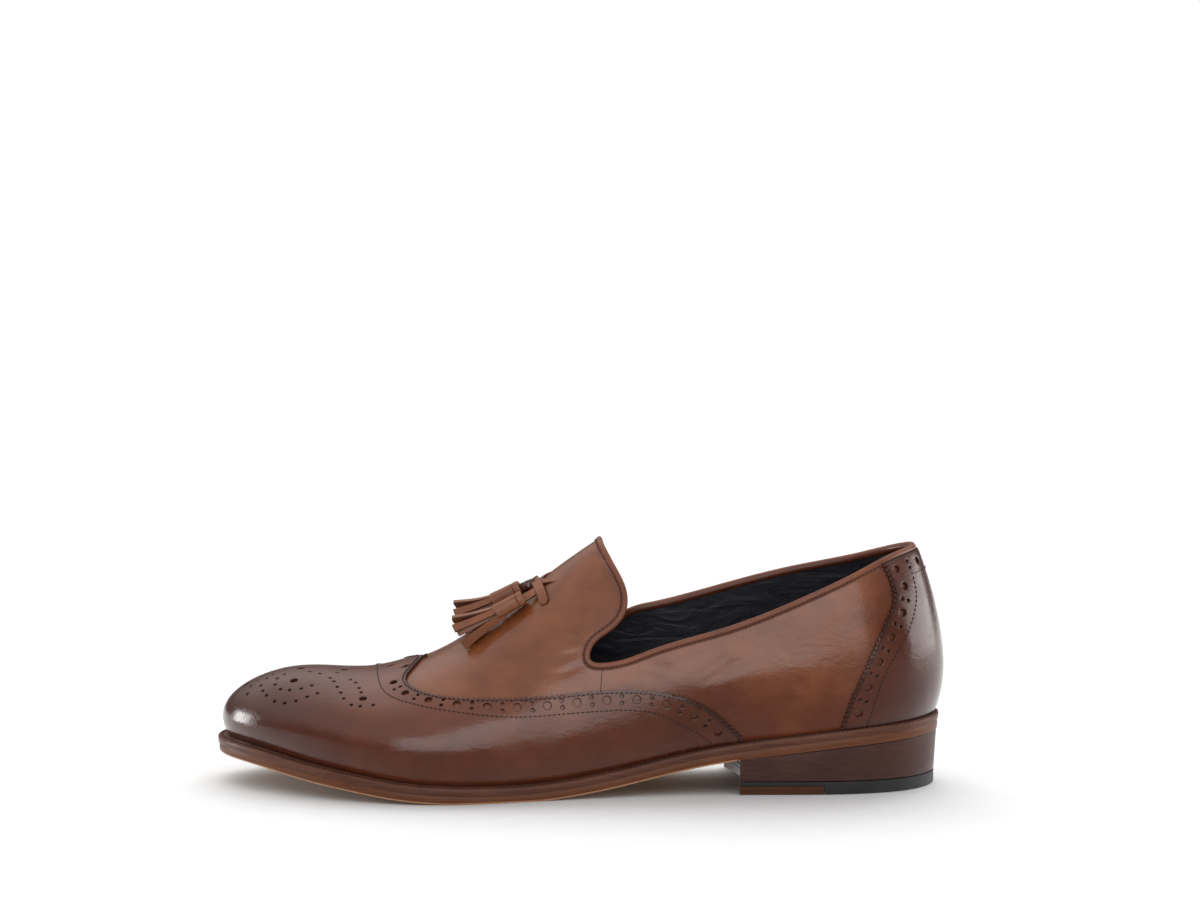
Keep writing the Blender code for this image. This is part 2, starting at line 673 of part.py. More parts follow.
def main():
    clear_objects()
    calf = material("calf_upper", (0.16, 0.06, 0.035), 0.35)
    burnished = material("calf_burnished", (0.09, 0.035, 0.025), 0.3)
    binding = material("calf_binding", (0.10, 0.04, 0.025), 0.4)
    welt = material("welt_leather", (0.10, 0.045, 0.03), 0.5)
    sole = material("sole_leather", (0.17, 0.07, 0.04), 0.5)
    stack = material("heel_leather", (0.06, 0.035, 0.03), 0.5)
    rubber = material("lift_rubber", (0.03, 0.03, 0.032), 0.7)
    insert = material("lift_leather", (0.07, 0.04, 0.03), 0.6)
    sock = material("sock_leather", (0.012, 0.011, 0.015), 0.5)
    thong = material("tassel_leather", (0.12, 0.05, 0.03), 0.4)

    make_sole(welt, sole, sock)
    make_heel(stack, rubber, insert)
    grid = upper_loop()
    normals = grid_normals(grid)
    make_upper(grid, normals, calf)
    wing_first = int(np.ceil(WING_START * SPOKES))
    make_overlay("wing_cap", grid, normals, wing_first, 2 * SPOKES - wing_first, burnished)
    counter_last = int(COUNTER_END * SPOKES)
    make_overlay("heel_counter", grid, normals, -counter_last, counter_last, burnished)
    make_binding(grid, normals, binding)
    for name in TASSEL_PLACES:
        make_tassel(name, thong)
    make_lace(thong)
    centre_on_origin()


main()
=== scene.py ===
"""Looks of a left tassel loafer: burnished wingtip calf on a welted leather sole.

Sizes are in millimetres in the shoe's own frame until the meshes are made: +X from toe
to heel, +Y from the outer (lateral) to the inner (medial) side, +Z up from the floor.
The last and its tables are those of the part, so every piece lies on the part's solids.
"""
import json

import bpy
import numpy as np
from mathutils import Matrix, Vector, geometry, kdtree

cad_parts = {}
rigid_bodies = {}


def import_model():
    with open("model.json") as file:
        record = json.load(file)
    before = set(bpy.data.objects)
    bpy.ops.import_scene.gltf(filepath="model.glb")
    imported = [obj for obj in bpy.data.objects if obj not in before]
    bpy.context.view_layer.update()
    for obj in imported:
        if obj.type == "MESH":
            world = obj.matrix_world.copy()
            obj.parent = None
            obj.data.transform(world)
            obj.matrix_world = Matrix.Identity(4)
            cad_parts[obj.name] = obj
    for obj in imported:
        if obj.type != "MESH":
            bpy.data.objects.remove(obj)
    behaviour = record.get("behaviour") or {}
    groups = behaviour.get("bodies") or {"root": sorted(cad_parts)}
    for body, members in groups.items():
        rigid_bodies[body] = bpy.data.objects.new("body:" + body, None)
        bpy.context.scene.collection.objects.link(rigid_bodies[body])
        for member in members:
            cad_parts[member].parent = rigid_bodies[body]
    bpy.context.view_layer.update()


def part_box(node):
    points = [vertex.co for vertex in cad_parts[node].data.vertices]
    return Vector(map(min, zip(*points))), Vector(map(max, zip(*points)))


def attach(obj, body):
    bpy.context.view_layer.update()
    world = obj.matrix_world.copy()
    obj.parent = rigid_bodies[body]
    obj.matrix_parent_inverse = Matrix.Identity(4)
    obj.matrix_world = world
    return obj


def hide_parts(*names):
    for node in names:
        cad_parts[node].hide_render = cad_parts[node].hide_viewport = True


# The start-up file's own objects are no part of the scene
for start_item in list(bpy.data.objects):
    bpy.data.objects.remove(start_item)
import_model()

MM = 0.001
LATERAL, MEDIAL = -1.0, 1.0
BODY = "root"

# Driving sizes of the last
LAST_LENGTH = 296.5
BALL_WIDTH = 99.4
INSTEP_RISE = 76.1
HEEL_SEAT = 30.2
TOE_TIP_X = -147.0

# Gap between solids, halvings of a search, points of a fine line, and how much more a line counts
# where it turns
GAP = 0.3
HALVINGS = 26
FINE_STEPS = 1201
TURN_CROWDING = 26.0

# Profile of the back and the nose of the last in side view
BACK_LEAN = 12.0
BACK_CURVE = 1.75
BACK_TUCK = 3.3
BACK_WIDEST = 48.5
BACK_FROM_X, BACK_TO_X = 60.0, 140.0
COLLAR_TOP = 100.0
TOE_TUCK = 1.5
NOSE_HEIGHT = 27.0
NOSE_FOOT = 20.5
NOSE_FROM_X, NOSE_TO_X = -100.0, -140.0

# Spine inside the last that its surface is cast from
SPINE_TOE, SPINE_HEEL = 27.0, 36.0
SPINE_HEIGHT, SPINE_SKEW = 0.42, 0.2
LEVEL_FROM_X, LEVEL_TO_X = 25.0, 60.0
CAST_REACH = 4.0

# Run of the spokes over the vamp
FRONT_FROM = 0.42
SPOKE_REACH, SPOKE_FRONT_REACH = 0.33, 0.15
SPOKE_RISE = 30.0
SPOKE_INWARD = 0.3
SPOKE_STEPS = 161

# Chart of the upper: columns along each side, rows from the feather to the rim, and about how far
# apart two columns lie
COLUMNS = 360
ROWS = 150
COLUMN_STEP = 1.2
TOE_COLUMN = COLUMNS
# Stations between which a mirrored line passes from going by columns to going by height
TOE_BLEND = (-60.0, -20.0)
# Step of the lines laid on the upper, and half the length that the run of a line is taken over
CURVE_STEP = 0.5
RUN_HALF = 0.3

# Sections of the last, from the toe tip (0) to the heel back (1).
LAST_COLUMNS = ("along", "middle", "half", "feather", "bulge", "rise", "skew", "fall", "tuck")
LAST_ROWS = (
    (0.000, 8.0, 0.000, 0.630, 7.5, 0.000, 0.0, 2.00, 0.06),
    (0.030, 7.3, 0.400, 0.610, 7.5, 0.164, 0.2, 2.00, 0.06),
    (0.100, 5.0, 0.720, 0.510, 9.0, 0.273, 1.5, 2.00, 0.06),
    (0.150, 3.0, 0.861, 0.440, 10.0, 0.288, 2.5, 2.00, 0.06),
    (0.210, 0.8, 0.962, 0.350, 11.0, 0.313, 4.0, 1.95, 0.055),
    (0.260, -0.8, 1.000, 0.285, 12.0, 0.376, 5.0, 1.90, 0.05),
    (0.310, -2.2, 0.990, 0.250, 13.0, 0.461, 6.0, 1.75, 0.05),
    (0.430, -4.0, 0.837, 0.238, 15.0, 0.773, 6.0, 1.50, 0.08),
    (0.540, -5.0, 0.688, 0.375, 17.0, 1.000, 5.4, 1.45, 0.105),
    (0.660, -3.2, 0.648, 0.630, 19.0, 1.080, 3.0, 1.60, 0.115),
    (0.800, -0.5, 0.682, 0.820, 20.0, 1.051, 0.0, 1.90, 0.08),
    (0.910, 0.0, 0.624, 0.932, 20.0, 0.983, 0.0, 2.00, 0.07),
    (0.965, 0.0, 0.455, 0.974, 19.0, 0.954, 0.0, 2.00, 0.07),
    (1.000, 0.0, 0.000, 1.000, 18.0, 0.944, 0.0, 2.00, 0.07),
)

# Edge of the opening in side view, from the tongue tip to the back seam:
# x and height on the lateral side, then on the medial side.
OPENING_ROWS = (
    (9.0, 101.5, 9.0, 101.5),
    (14.4, 92.8, 13.4, 88.6),
    (19.4, 82.0, 17.2, 79.0),
    (18.4, 73.8, 16.2, 74.2),
    (11.5, 66.6, 10.6, 70.8),
    (4.9, 60.4, 5.0, 67.6),
    (4.6, 56.2, 6.4, 64.4),
    (10.0, 55.0, 20.0, 68.4),
    (29.0, 60.1, 30.0, 71.4),
    (60.0, 69.2, 60.0, 78.8),
    (90.0, 80.8, 90.0, 86.0),
    (115.0, 92.0, 115.0, 91.4),
    (130.0, 98.0, 130.0, 96.4),
    (137.6, 99.4, 137.6, 99.4),
)

# Spokes of the upper: share of the feather line from back to toe, share of the opening edge
# that the spoke ends on, and its slope there in side view, in degrees up from +X, on the
# lateral and on the medial side.
SPOKE_ROWS = (
    (0.00, 0.000, 100.0, 100.0), (0.25, 0.355, 104.0, 104.0), (0.42, 0.600, 100.0, 100.0),
    (0.47, 0.670, 85.0, 85.0), (0.51, 0.725, 25.0, 25.0), (0.55, 0.755, 10.0, 5.0),
    (0.62, 0.810, 0.0, -30.0), (0.75, 0.890, 16.0, 16.0), (1.00, 1.000, 35.0, 35.0),
)

# Leathers of the upper, as lifts from the last's surface
LINING_OUT, LINING_IN = -1.2, -2.0
LINING_CLEAR = 0.02
OVERLAY_IN, OVERLAY_OUT = 0.15, 1.35
EDGE_ROUND = 0.22
RIM_DROP = 1.0
SEAM_PLACE = (9.4, -35.4, 52.5)
SEAM_GAP = 0.3
# Columns and rows of points in the walls of the upper
VAMP_GRID, QUARTER_GRID, LINING_GRID = (430, 70), (300, 64), (360, 50)

# Burnish from 0 (light) to 1 (dark) of each leather and what is added at the toe and heel, painted shade
# added low by the welt and over the waist, and burnish on cut edges and beside them
UPPER_BURNISH, WING_BURNISH, COUNTER_BURNISH = 0.12, 0.30, 0.35
TOE_BURNISH, HEEL_BURNISH, LOW_PAINTED_SHADE, WAIST_PAINTED_SHADE = 0.36, 0.38, 0.14, 0.15
CUT_BURNISH, RIM_BURNISH = 0.85, 0.35
TASSEL_BURNISH, CORD_BURNISH = 0.06, 0.75
# From where to where it grows: stations at toe and heel, and for the painted shade heights over the feather
# and at the waist
TOE_FADE, HEEL_FADE = (-70.0, -142.0), (104.0, 146.0)
LOW_SHADE_FADE, WAIST_SHADE_FADE = (36.0, 4.0), (54.0, 42.0)
WAIST_SHADE_X, WAIST_SHADE_HALF = 55.0, 28.0

# Edge of the wing on the lateral side, from the welt to the peak on the ridge: x, y, z
WING_EDGE = (
    (66.9, -32.0, 23.8), (61.0, -33.8, 29.7), (54.1, -35.0, 35.8), (43.0, -35.6, 41.1),
    (28.3, -36.1, 43.9), (14.0, -37.0, 44.4), (0.0, -38.4, 43.6), (-14.7, -40.2, 42.2),
    (-31.5, -41.5, 41.5), (-50.7, -39.7, 41.2), (-65.5, -31.0, 42.9), (-70.4, -21.2, 45.3),
    (-67.8, -9.5, 49.2), (-63.5, 3.6, 51.4),
)
# Stitch row along the inner side of the wing's punched strip
WING_ROW = (
    (54.0, -32.1, 21.4), (52.6, -32.7, 22.9), (42.9, -35.2, 29.1), (34.3, -36.5, 33.6),
    (26.1, -37.2, 35.6), (9.6, -38.9, 35.9), (-6.9, -41.3, 35.0), (-23.2, -44.0, 34.1),
    (-39.5, -45.5, 34.8), (-56.2, -43.5, 36.3), (-71.4, -36.5, 38.4), (-77.8, -29.8, 40.2),
    (-81.8, -17.2, 43.4), (-83.0, -6.0, 44.9), (-83.5, 4.0, 45.3),
)
# Front edge of the counter on the lateral side, from the welt to the collar
COUNTER_EDGE = (
    (106.0, -31.1, 26.8), (110.5, -33.0, 40.9), (114.8, -32.7, 50.2), (120.3, -30.8, 62.7),
    (125.1, -27.6, 73.0), (127.4, -25.2, 79.0), (126.8, -23.8, 84.8), (123.6, -22.4, 91.8),
    (121.0, -22.3, 96.5),
)
# Rear stitch row of the counter's strip, up to where it turns below the collar
COUNTER_ROW = (
    (116.6, -29.5, 27.9), (120.7, -31.1, 40.5), (125.0, -30.3, 51.6), (132.1, -26.2, 63.3),
    (136.1, -20.9, 73.8), (137.0, -17.0, 82.4), (135.6, -15.6, 87.4),
)
# Strip round the back: columns of its holes, and how far below the rim they, the counter's upper
# edge, the side strip's last hole and the stitch row lie
BACK_LARGE, BACK_LARGE_DROP = (-24.0, -8.0, 8.0, 24.0), 6.6
BACK_SMALL, BACK_SMALL_DROPS = (-16.0, 0.0, 16.0), (5.2, 8.0)
COUNTER_DROP, STRIP_DROP, ROW_DROP = 2.6, 12.5, 11.0
ROW_POINTS = 40

# Punched holes: diameter and points of a ring, clear ring round a hole, pitch and first hole on the
# strips of wing and counter, half the distance of a pair, and the end of the wing's strip
LARGE_HOLE, SMALL_HOLE = (3.3, 18), (1.5, 12)
HOLE_GUARD = 0.45
HOLE_PITCH, HOLE_FIRST = 12.2, 6.0
COUNTER_PITCH, COUNTER_FIRST = 11.2, 7.0
PAIR_HALF = 1.4
STRIP_END = (-74.0, -20.0, 44.0)
# Pinked edges and the stitch row beside them
TOOTH_PITCH, TOOTH_DEPTH = 2.1, 1.05
TOOTH_POINTS = 6
EDGE_STITCH = 1.5
# Sheets of leather: distance of the points inside them, of their rows as a share of it, the step
# they are measured in, the share of it kept clear at edges, and the lowest chart row
SHEET_SPACING, ROW_SHARE, SHEET_STEP, CLEAR_SHARE = 1.9, 0.87, 0.6, 0.55
FOOT_ROW = 0.1

# Medallion on the toe: station along the shoe and girth from its axis; the axis lies a
# little to the lateral side of the ridge. Holes off the axis come in pairs.
MEDALLION_AXIS = 2.5
GIRTH_STEPS = 2001
MEDALLION_LARGE = (
    (-137.6, 0.0), (-115.4, 0.0), (-97.3, 0.0), (-117.1, 15.0), (-87.8, 33.5), (-71.2, 9.0), (-78.0, 0.0),
)
MEDALLION_SMALL = (
    (-136.3, 11.5), (-127.8, 20.0), (-124.2, 25.7), (-119.8, 29.0), (-115.2, 30.0), (-110.7, 29.0),
    (-106.7, 27.5), (-130.9, 10.8), (-129.7, 15.7), (-124.8, 14.7), (-122.2, 19.7), (-118.4, 22.0),
    (-113.6, 22.6), (-109.5, 21.0), (-135.4, 6.3), (-133.1, 3.0), (-128.8, 5.8), (-124.3, 9.5),
    (-126.5, 2.7), (-121.6, 6.6), (-111.3, 6.4), (-107.0, 9.0), (-99.9, 6.7), (-94.0, 15.2),
    (-91.6, 18.6), (-89.9, 24.0), (-88.9, 28.0), (-102.5, 13.7), (-100.7, 17.2), (-99.0, 22.6),
    (-97.3, 27.7), (-95.8, 32.6), (-92.3, 37.4), (-88.6, 38.8), (-83.3, 39.0),
)

# Creases: start and end on the upper (x, y, z), depth (negative for a trough) and half width
CREASES = (
    (28.0, -35.0, 44.0, 110.0, -33.0, 54.0, 0.95, 9.0),
    (-118.0, -24.0, 32.0, -62.0, -46.5, 32.0, 0.90, 8.0),
    (-85.0, -42.0, 32.0, -10.0, -43.0, 33.0, 0.90, 8.0),
    (69.0, -33.8, 58.5, 48.0, -35.2, 45.5, -0.32, 1.9),
    (74.0, -33.9, 57.0, 55.0, -35.2, 47.5, -0.20, 1.5),
    (63.0, -33.6, 59.0, 45.0, -35.4, 48.0, -0.18, 1.4),
    (58.0, -33.8, 61.0, 36.0, -35.2, 54.0, -0.16, 1.5),
    (24.0, -34.4, 55.5, 44.0, -34.9, 50.5, -0.30, 2.2),
    (20.0, -35.2, 51.0, 38.0, -35.4, 47.5, -0.25, 2.0),
    (4.5, -34.2, 55.5, -9.0, -36.5, 50.0, -0.30, 1.8),
    (2.5, -33.2, 60.0, -12.0, -34.5, 56.5, -0.28, 1.8),
    (1.0, -32.0, 64.0, -12.0, -32.4, 62.0, -0.22, 1.8),
    (-22.0, -37.6, 52.0, -2.0, -37.6, 51.0, -0.22, 1.5),
    (-28.0, -36.4, 54.5, -6.0, -35.2, 55.0, -0.20, 1.4),
    (-32.0, -35.0, 56.0, -12.0, -33.6, 58.0, -0.20, 1.4),
    (-36.0, -38.8, 48.0, -16.0, -39.2, 47.5, -0.18, 1.4),
    (-44.0, -26.0, 57.0, -30.0, -30.0, 60.5, -0.20, 1.8),
    (-48.0, -22.0, 58.0, -36.0, -26.0, 62.0, -0.16, 1.8),
    (66.0, 34.0, 58.0, 48.0, 32.5, 46.0, -0.60, 2.6),
    (70.0, 34.2, 55.0, 52.0, 33.0, 43.5, 0.35, 2.8),
    (-24.0, 36.0, 52.0, -4.0, 30.0, 55.0, -0.22, 1.6),
    (-30.0, 33.0, 57.0, -8.0, 28.0, 60.0, -0.20, 1.5),
    (4.0, 27.0, 66.0, -10.0, 30.0, 60.0, -0.26, 1.8),
)

# Collar binding: section as lift from the surface and height over the rim, from its outer
# foot over the rolled edge to its inner foot, and the burnish of each of these points, darker towards the
# inner foot, with painted shade darkening the dip; the stitches lie in the dip of the section.
BINDING_SECTION = (
    (0.05, -3.2), (0.36, -3.05), (0.42, -2.85), (0.20, -2.5), (0.56, -2.05), (0.75, -1.2), (0.58, -0.4),
    (0.05, 0.0), (-0.9, 0.08), (-1.9, -0.2), (-2.4, -0.9), (-2.5, -1.8), (-2.3, -2.6), (-1.95, -2.9),
)
BINDING_BURNISH_AND_SHADE = (0.22, 0.22, 0.30, 0.50, 0.25, 0.18, 0.18, 0.18, 0.20, 0.30, 0.40, 0.50, 0.50, 0.40)
BINDING_STITCH = (0.24, -2.52)
BINDING_POINTS = 900

# Thread: length of a stitch, pitch, half width, how far its middle stands up, and its rings: sides,
# places along the half length and how much the ends are thinner
STITCH_LENGTH, STITCH_PITCH = 1.45, 1.95
STITCH_HALF = 0.27
STITCH_RISE = 0.16
STITCH_SIDES = 6
STITCH_STATIONS = (-1.0, -0.55, 0.55, 1.0)
STITCH_TAPER = 0.86

# Sole and heel
SOLE_BAND = 7.4
WELT = 3.2
SOLE_STEP = 0.5
SOLE_BEVEL = 0.8
SOLE_SEAM = 0.1
SOLE_SHARES = 320
WALL = 2.0
SEAT_CLEAR = 0.2
INSOLE, SOCK_ROUND = 3.0, 0.5
LIFT = 5.3
INSERT = 3.5
INSERT_END_X = 100.0
INSERT_CLEAR = 0.15
HEEL_TAPER = 1.0
HEEL_BEVEL, LIFT_BEVEL = 0.25, 0.4
HEEL_SHARES = (0.3, 0.6, 0.97)
# From where to where, behind the breast, the bevel of the sole's edge fades out
BEVEL_FADE = (-1.0, 4.0)
BREAST_LATERAL_X = 65.4
BREAST_MEDIAL_X = 61.0
BREAST_HOLLOW = 5.0
BREAST_POINTS = 25
OUTLINE_POINTS = 1500
NOTCH_PITCH, NOTCH_DEPTH = 2.0, 0.28
# Place of the welt's stitch row: in from its edge and below its top
WELT_STITCH = (1.55, 0.22)
# Reach of the welt beyond the feather from toe (0) to heel (1), on the lateral and medial side
WELT_ROWS = (
    (0.00, 5.5, 5.5), (0.20, 5.2, 5.2), (0.45, 4.8, 4.6), (0.60, 4.0, 3.6),
    (0.75, 3.0, 3.0), (0.90, 2.4, 2.4), (1.00, 2.6, 2.6),
)

# Tassels: neck, fringe end, and the plan place of the slit its thong runs back to
TASSEL_PLACES = {
    "tassel_lateral": ((-22.5, -13.5, 78.3), (-49.5, -13.5, 63.2), (-10.5, 9.0)),
    "tassel_medial": ((-24.0, 2.5, 80.1), (-49.5, 4.5, 66.8), (-10.0, -10.0)),
}
CROSSING = (-16.6, -4.0)
KEEPER_ENDS = (-17.5, 9.0)
KEEPER_SLANT = -0.19
KEEPER_WIDTH, KEEPER_ROUND = 4.0, 1.1
KEEPER_THICK, KEEPER_FOOT, KEEPER_RISE, KEEPER_FLAT = 1.4, 0.2, 1.9, 0.55
CAP_LENGTH = 13.0
CAP_HALF = 3.6
CAP_WALL = 1.1
CAP_UNDER, CAP_SQUARE = 0.62, 0.62
CAP_POINTS = 36
# Section of a tassel's head: place along it and lift from its half width, with a hem behind
CAP_SECTION = (
    (0.0, -0.55), (0.3, -0.15), (0.9, 0.0), (2.5, 0.0), (2.8, -0.35), (3.1, -0.02), (7.8, 0.05), (12.7, 0.2),
    (CAP_LENGTH, 0.0), (12.9, -CAP_WALL), (9.0, -CAP_WALL), (0.6, -CAP_WALL), (0.05, -CAP_WALL),
)
# Strips of a tassel: root and end beside and above its axis, the turn of the strip about its
# length in degrees (0 faces the outer side, 90 upwards), longer or shorter, and width
STRIP_ROWS = (
    (0.6, 2.5, 1.4, 7.6, 78, -1.2, 3.0),
    (2.0, 1.3, 4.3, 3.7, 32, 0.2, 3.5),
    (1.0, 0.1, 2.2, 0.9, 8, -0.6, 3.0),
    (2.2, -1.7, 3.9, -4.4, -12, 0.3, 4.0),
    (0.2, -2.1, 0.4, -4.6, -70, -1.4, 3.2),
    (-1.9, 1.7, -3.6, 5.6, 130, -0.4, 3.2),
    (-2.3, -0.3, -4.8, 0.6, 180, 0.5, 3.6),
    (-1.7, -1.7, -3.2, -3.6, 225, -0.8, 3.4),
    (0.0, 0.9, -0.6, 3.2, 95, -2.2, 3.0),
)
STRIP_THICK = 1.1
STRIP_POINTS = 12
STRIP_NARROW = 0.72
# How far a strip starts inside its head and runs straight out of it, how much it has spread there,
# and where along the tassel and how far from its axis it bends
STRIP_IN, STRIP_OUT, ROOT_SPREAD = 3.0, 3.5, 1.1
BEND_ALONG, BEND_SPREAD = 0.78, 0.72
# Eased edges of straps and strips, at most this share of their half width
RIBBON_EASE, EASE_SHARE = 0.22, 0.5
# Thong: strap and twisted cord from inside the heads to the crossing, and tails from there to the
# slits; the lifts are distances from the vamp
STRAP_WIDTH, STRAP_THICK, STRAP_LEAN = 3.6, 1.2, 1.0
STRAP_ASIDE, STRAP_LIFT = -4.6, 0.5
STRAND_HALF, STRAND_TURNS, STRAND_SPREAD = 1.15, 2.5, 0.8
LEAD_IN, STRAP_OUT, CORD_OUT = 2.5, 2.5, 3.0
LEAD_POINTS, TAIL_POINTS, KEEPER_POINTS = 24, 10, 45
CORD_LIFT, TAIL_LIFT, SLIT_DEPTH = 1.5, 0.9, 0.4
TAIL_WIDTHS, TAIL_TIP = {"tassel_lateral": 2.6, "tassel_medial": 5.0}, 0.8

# Colours of the calf by its burnish, and of other materials from dark to light
CALF_STOPS = (
    (0.00, (0.178, 0.054, 0.0175)), (0.30, (0.100, 0.0235, 0.0080)), (0.60, (0.062, 0.0145, 0.0058)),
    (1.00, (0.030, 0.0078, 0.0046)),
)
CUT_COLOURS = (0.026, 0.009, 0.005), (0.048, 0.015, 0.008)
LINING_SHADED_AND_LIT_COLOURS = (0.006, 0.0062, 0.010), (0.018, 0.019, 0.026)
WELT_COLOURS = (0.068, 0.025, 0.015), (0.104, 0.040, 0.024)
SOLE_COLOURS = (0.090, 0.030, 0.0135), (0.128, 0.045, 0.021)
TRIM_COLOURS = (0.34, 0.15, 0.06), (0.42, 0.20, 0.09)
TREAD_COLOURS = (0.16, 0.085, 0.04), (0.22, 0.12, 0.055)
SOCK_COLOURS = (0.010, 0.010, 0.013), (0.020, 0.020, 0.025)
HEEL_COLOURS = (0.040, 0.017, 0.0125), (0.063, 0.027, 0.021)
RUBBER_COLOURS = (0.012, 0.012, 0.012), (0.020, 0.020, 0.020)
INSERT_COLOURS = (0.050, 0.017, 0.009), (0.076, 0.027, 0.014)
THREAD_COLOURS = (0.020, 0.008, 0.006), (0.035, 0.014, 0.010)
FLOOR_COLOURS = (0.76, 0.76, 0.76), (0.78, 0.78, 0.78)
# Share of a noise's range that its tones are spread over
NOISE_SPAN = (0.3, 0.7)

# Camera: degrees above the floor, distance, focal length in pixels, and in pixels of the photo its
# size and the place of the shoe's origin
CAMERA_RISE, CAMERA_DISTANCE, CAMERA_FOCAL = 11.0, 1700.0, 4080.0
PHOTO_WIDTH, PHOTO_HEIGHT = 1200.0, 897.0
ORIGIN_X, ORIGIN_Y = 579.0, 780.0
SENSOR = 36.0

# Brightness of the studio: above the horizon by the sine of the elevation, below it (where only
# gloss looks, past the floor) from front to back; from, to, and the two strengths
SKY_RISE = (0.20, 0.60, 0.15, 1.00)
GROUND_RISE = (-0.95, 0.35, 0.24, 1.60)
HORIZON = (-0.06, 0.0, 0.0, 1.0)
# Broad sun behind: where it stands, strength and angle in degrees
SUN_PLACE, SUN_STRENGTH, SUN_ANGLE = (0.0, 0.75, 0.75), 2.3, 70.0
# Boxes of light, in metres: place, target, size and power in watts
BOXES = {
    "front_box": ((0.05, -2.0, 0.62), (0.0, 0.0, 0.04), (2.1, 1.15), 18.5),
    "left_strip": ((-1.05, 0.22, 0.10), (-0.14, 0.0, 0.03), (0.30, 0.36), 4.8),
    "right_wall": ((1.05, 0.12, 0.17), (0.14, 0.0, 0.06), (0.95, 0.32), 4.2),
}
FLOOR_REACH = 300.0


def spline(knots, values):
    """Natural cubic spline through the rows of a table."""
    knots = np.asarray(knots, float)
    values = np.asarray(values, float)
    gaps = np.diff(knots)
    slopes = np.diff(values) / gaps
    matrix = np.eye(len(knots))
    right = np.zeros(len(knots))
    for row in range(1, len(knots) - 1):
        matrix[row, row - 1:row + 2] = gaps[row - 1], 2 * (gaps[row - 1] + gaps[row]), gaps[row]
        right[row] = 6 * (slopes[row] - slopes[row - 1])
    bends = np.linalg.solve(matrix, right)

    def value_at(place):
        place = np.clip(place, knots[0], knots[-1])
        cell = np.clip(np.searchsorted(knots, place) - 1, 0, len(knots) - 2)
        after = (place - knots[cell]) / gaps[cell]
        before = 1 - after
        curve = (before ** 3 - before) * bends[cell] + (after ** 3 - after) * bends[cell + 1]
        return before * values[cell] + after * values[cell + 1] + curve * gaps[cell] ** 2 / 6

    return value_at


def smooth_step(low, high, value):
    """Smooth rise from 0 to 1 between two values."""
    share = np.clip((value - low) / (high - low), 0, 1)
    return share * share * (3 - 2 * share)


def last_splines():
    """One spline along the shoe for each column of the last's table."""
    rows = np.array(LAST_ROWS)
    stations = TOE_TIP_X + LAST_LENGTH * rows[:, 0]
    scale = {"half": BALL_WIDTH / 2, "feather": HEEL_SEAT, "rise": INSTEP_RISE}
    splines = {}
    for column, name in enumerate(LAST_COLUMNS[1:], start=1):
        values = rows[:, column] * scale.get(name, 1.0)
        closes = name in ("half", "rise")
        splines[name] = spline(stations, values ** 2 if closes else values)
    return splines


LAST = last_splines()


def last_at(station):
    """Section sizes at a station; the half width and the rise close round at their ends."""
    section = {name: curve(station) for name, curve in LAST.items()}
    for name in ("half", "rise"):
        section[name] = np.sqrt(np.maximum(section[name], 0))
    return section


def lean(x, z):
    """Shift of the heel and toe ends along X with height: the profile of back and nose."""
    up = np.clip((z - BACK_WIDEST) / (COLLAR_TOP - BACK_WIDEST), 0, 2)
    down = np.clip((BACK_WIDEST - z) / (BACK_WIDEST - HEEL_SEAT), 0, 1.5)
    back = -BACK_LEAN * up ** BACK_CURVE - BACK_TUCK * down ** 2
    low = np.clip((NOSE_HEIGHT - z) / (NOSE_HEIGHT - NOSE_FOOT), 0, 2)
    nose = TOE_TUCK * low ** 2
    return back * smooth_step(BACK_FROM_X, BACK_TO_X, x) + nose * smooth_step(NOSE_FROM_X, NOSE_TO_X, x)


def wall_at(x, z):
    """Middle line and half width of the last at a place of its side view."""
    station = x - lean(x, z)
    section = last_at(station)
    widest = section["feather"] + section["bulge"]
    below = np.clip((widest - z) / section["bulge"], 0, 2)
    above = np.clip((z - widest) / np.maximum(section["rise"], 1e-6), 0, 1)
    shape = (1 - section["tuck"] * below ** 2) * np.sqrt(1 - above ** section["fall"])
    middle = section["middle"] + section["skew"] * above ** 2
    return middle, section["half"] * shape


def is_inside(points):
    """Whether points lie inside the last."""
    middle, half = wall_at(points[..., 0], points[..., 2])
    return np.abs(points[..., 1] - middle) < half


def lengths_along(points, weights=1.0):
    """Length from the start of a polyline to each of its points, with its steps weighted."""
    steps = np.linalg.norm(np.diff(points, axis=0), axis=1) * weights
    return np.concatenate(([0], np.cumsum(steps)))


def at_lengths(points, along, targets):
    """Points at given lengths along a polyline."""
    return np.stack([np.interp(targets, along, column) for column in points.T], axis=1)


def closed_loop(points):
    """A ring of points with its first point again at the end."""
    return np.concatenate([points, points[:1]])


def resample(points, count, weights=1.0):
    """A number of points at even steps along a polyline, or points at shares of its length."""
    length = lengths_along(points, weights)
    places = np.linspace(0, length[-1], count) if np.isscalar(count) else count * length[-1]
    return at_lengths(points, length, places)


def feather_line(side, shares):
    """Edge where the upper meets the sole, from the heel back (0) to the toe tip (1)."""
    turn = np.linspace(0, np.pi, FINE_STEPS)
    station = TOE_TIP_X + LAST_LENGTH * (1 + np.cos(turn)) / 2
    section = last_at(station)
    x = station.copy()
    for _ in range(4):
        x = station + lean(x, section["feather"])
    half = section["half"] * (1 - section["tuck"])
    line = np.stack([x, section["middle"] + side * half, section["feather"]], axis=1)
    heading = np.unwrap(np.arctan2(np.gradient(line[:, 1]), np.gradient(line[:, 0])))
    steps = np.linalg.norm(np.diff(line, axis=0), axis=1)
    turning = np.abs(np.diff(heading)) / steps
    return resample(line, shares, 1 + TURN_CROWDING * turning)


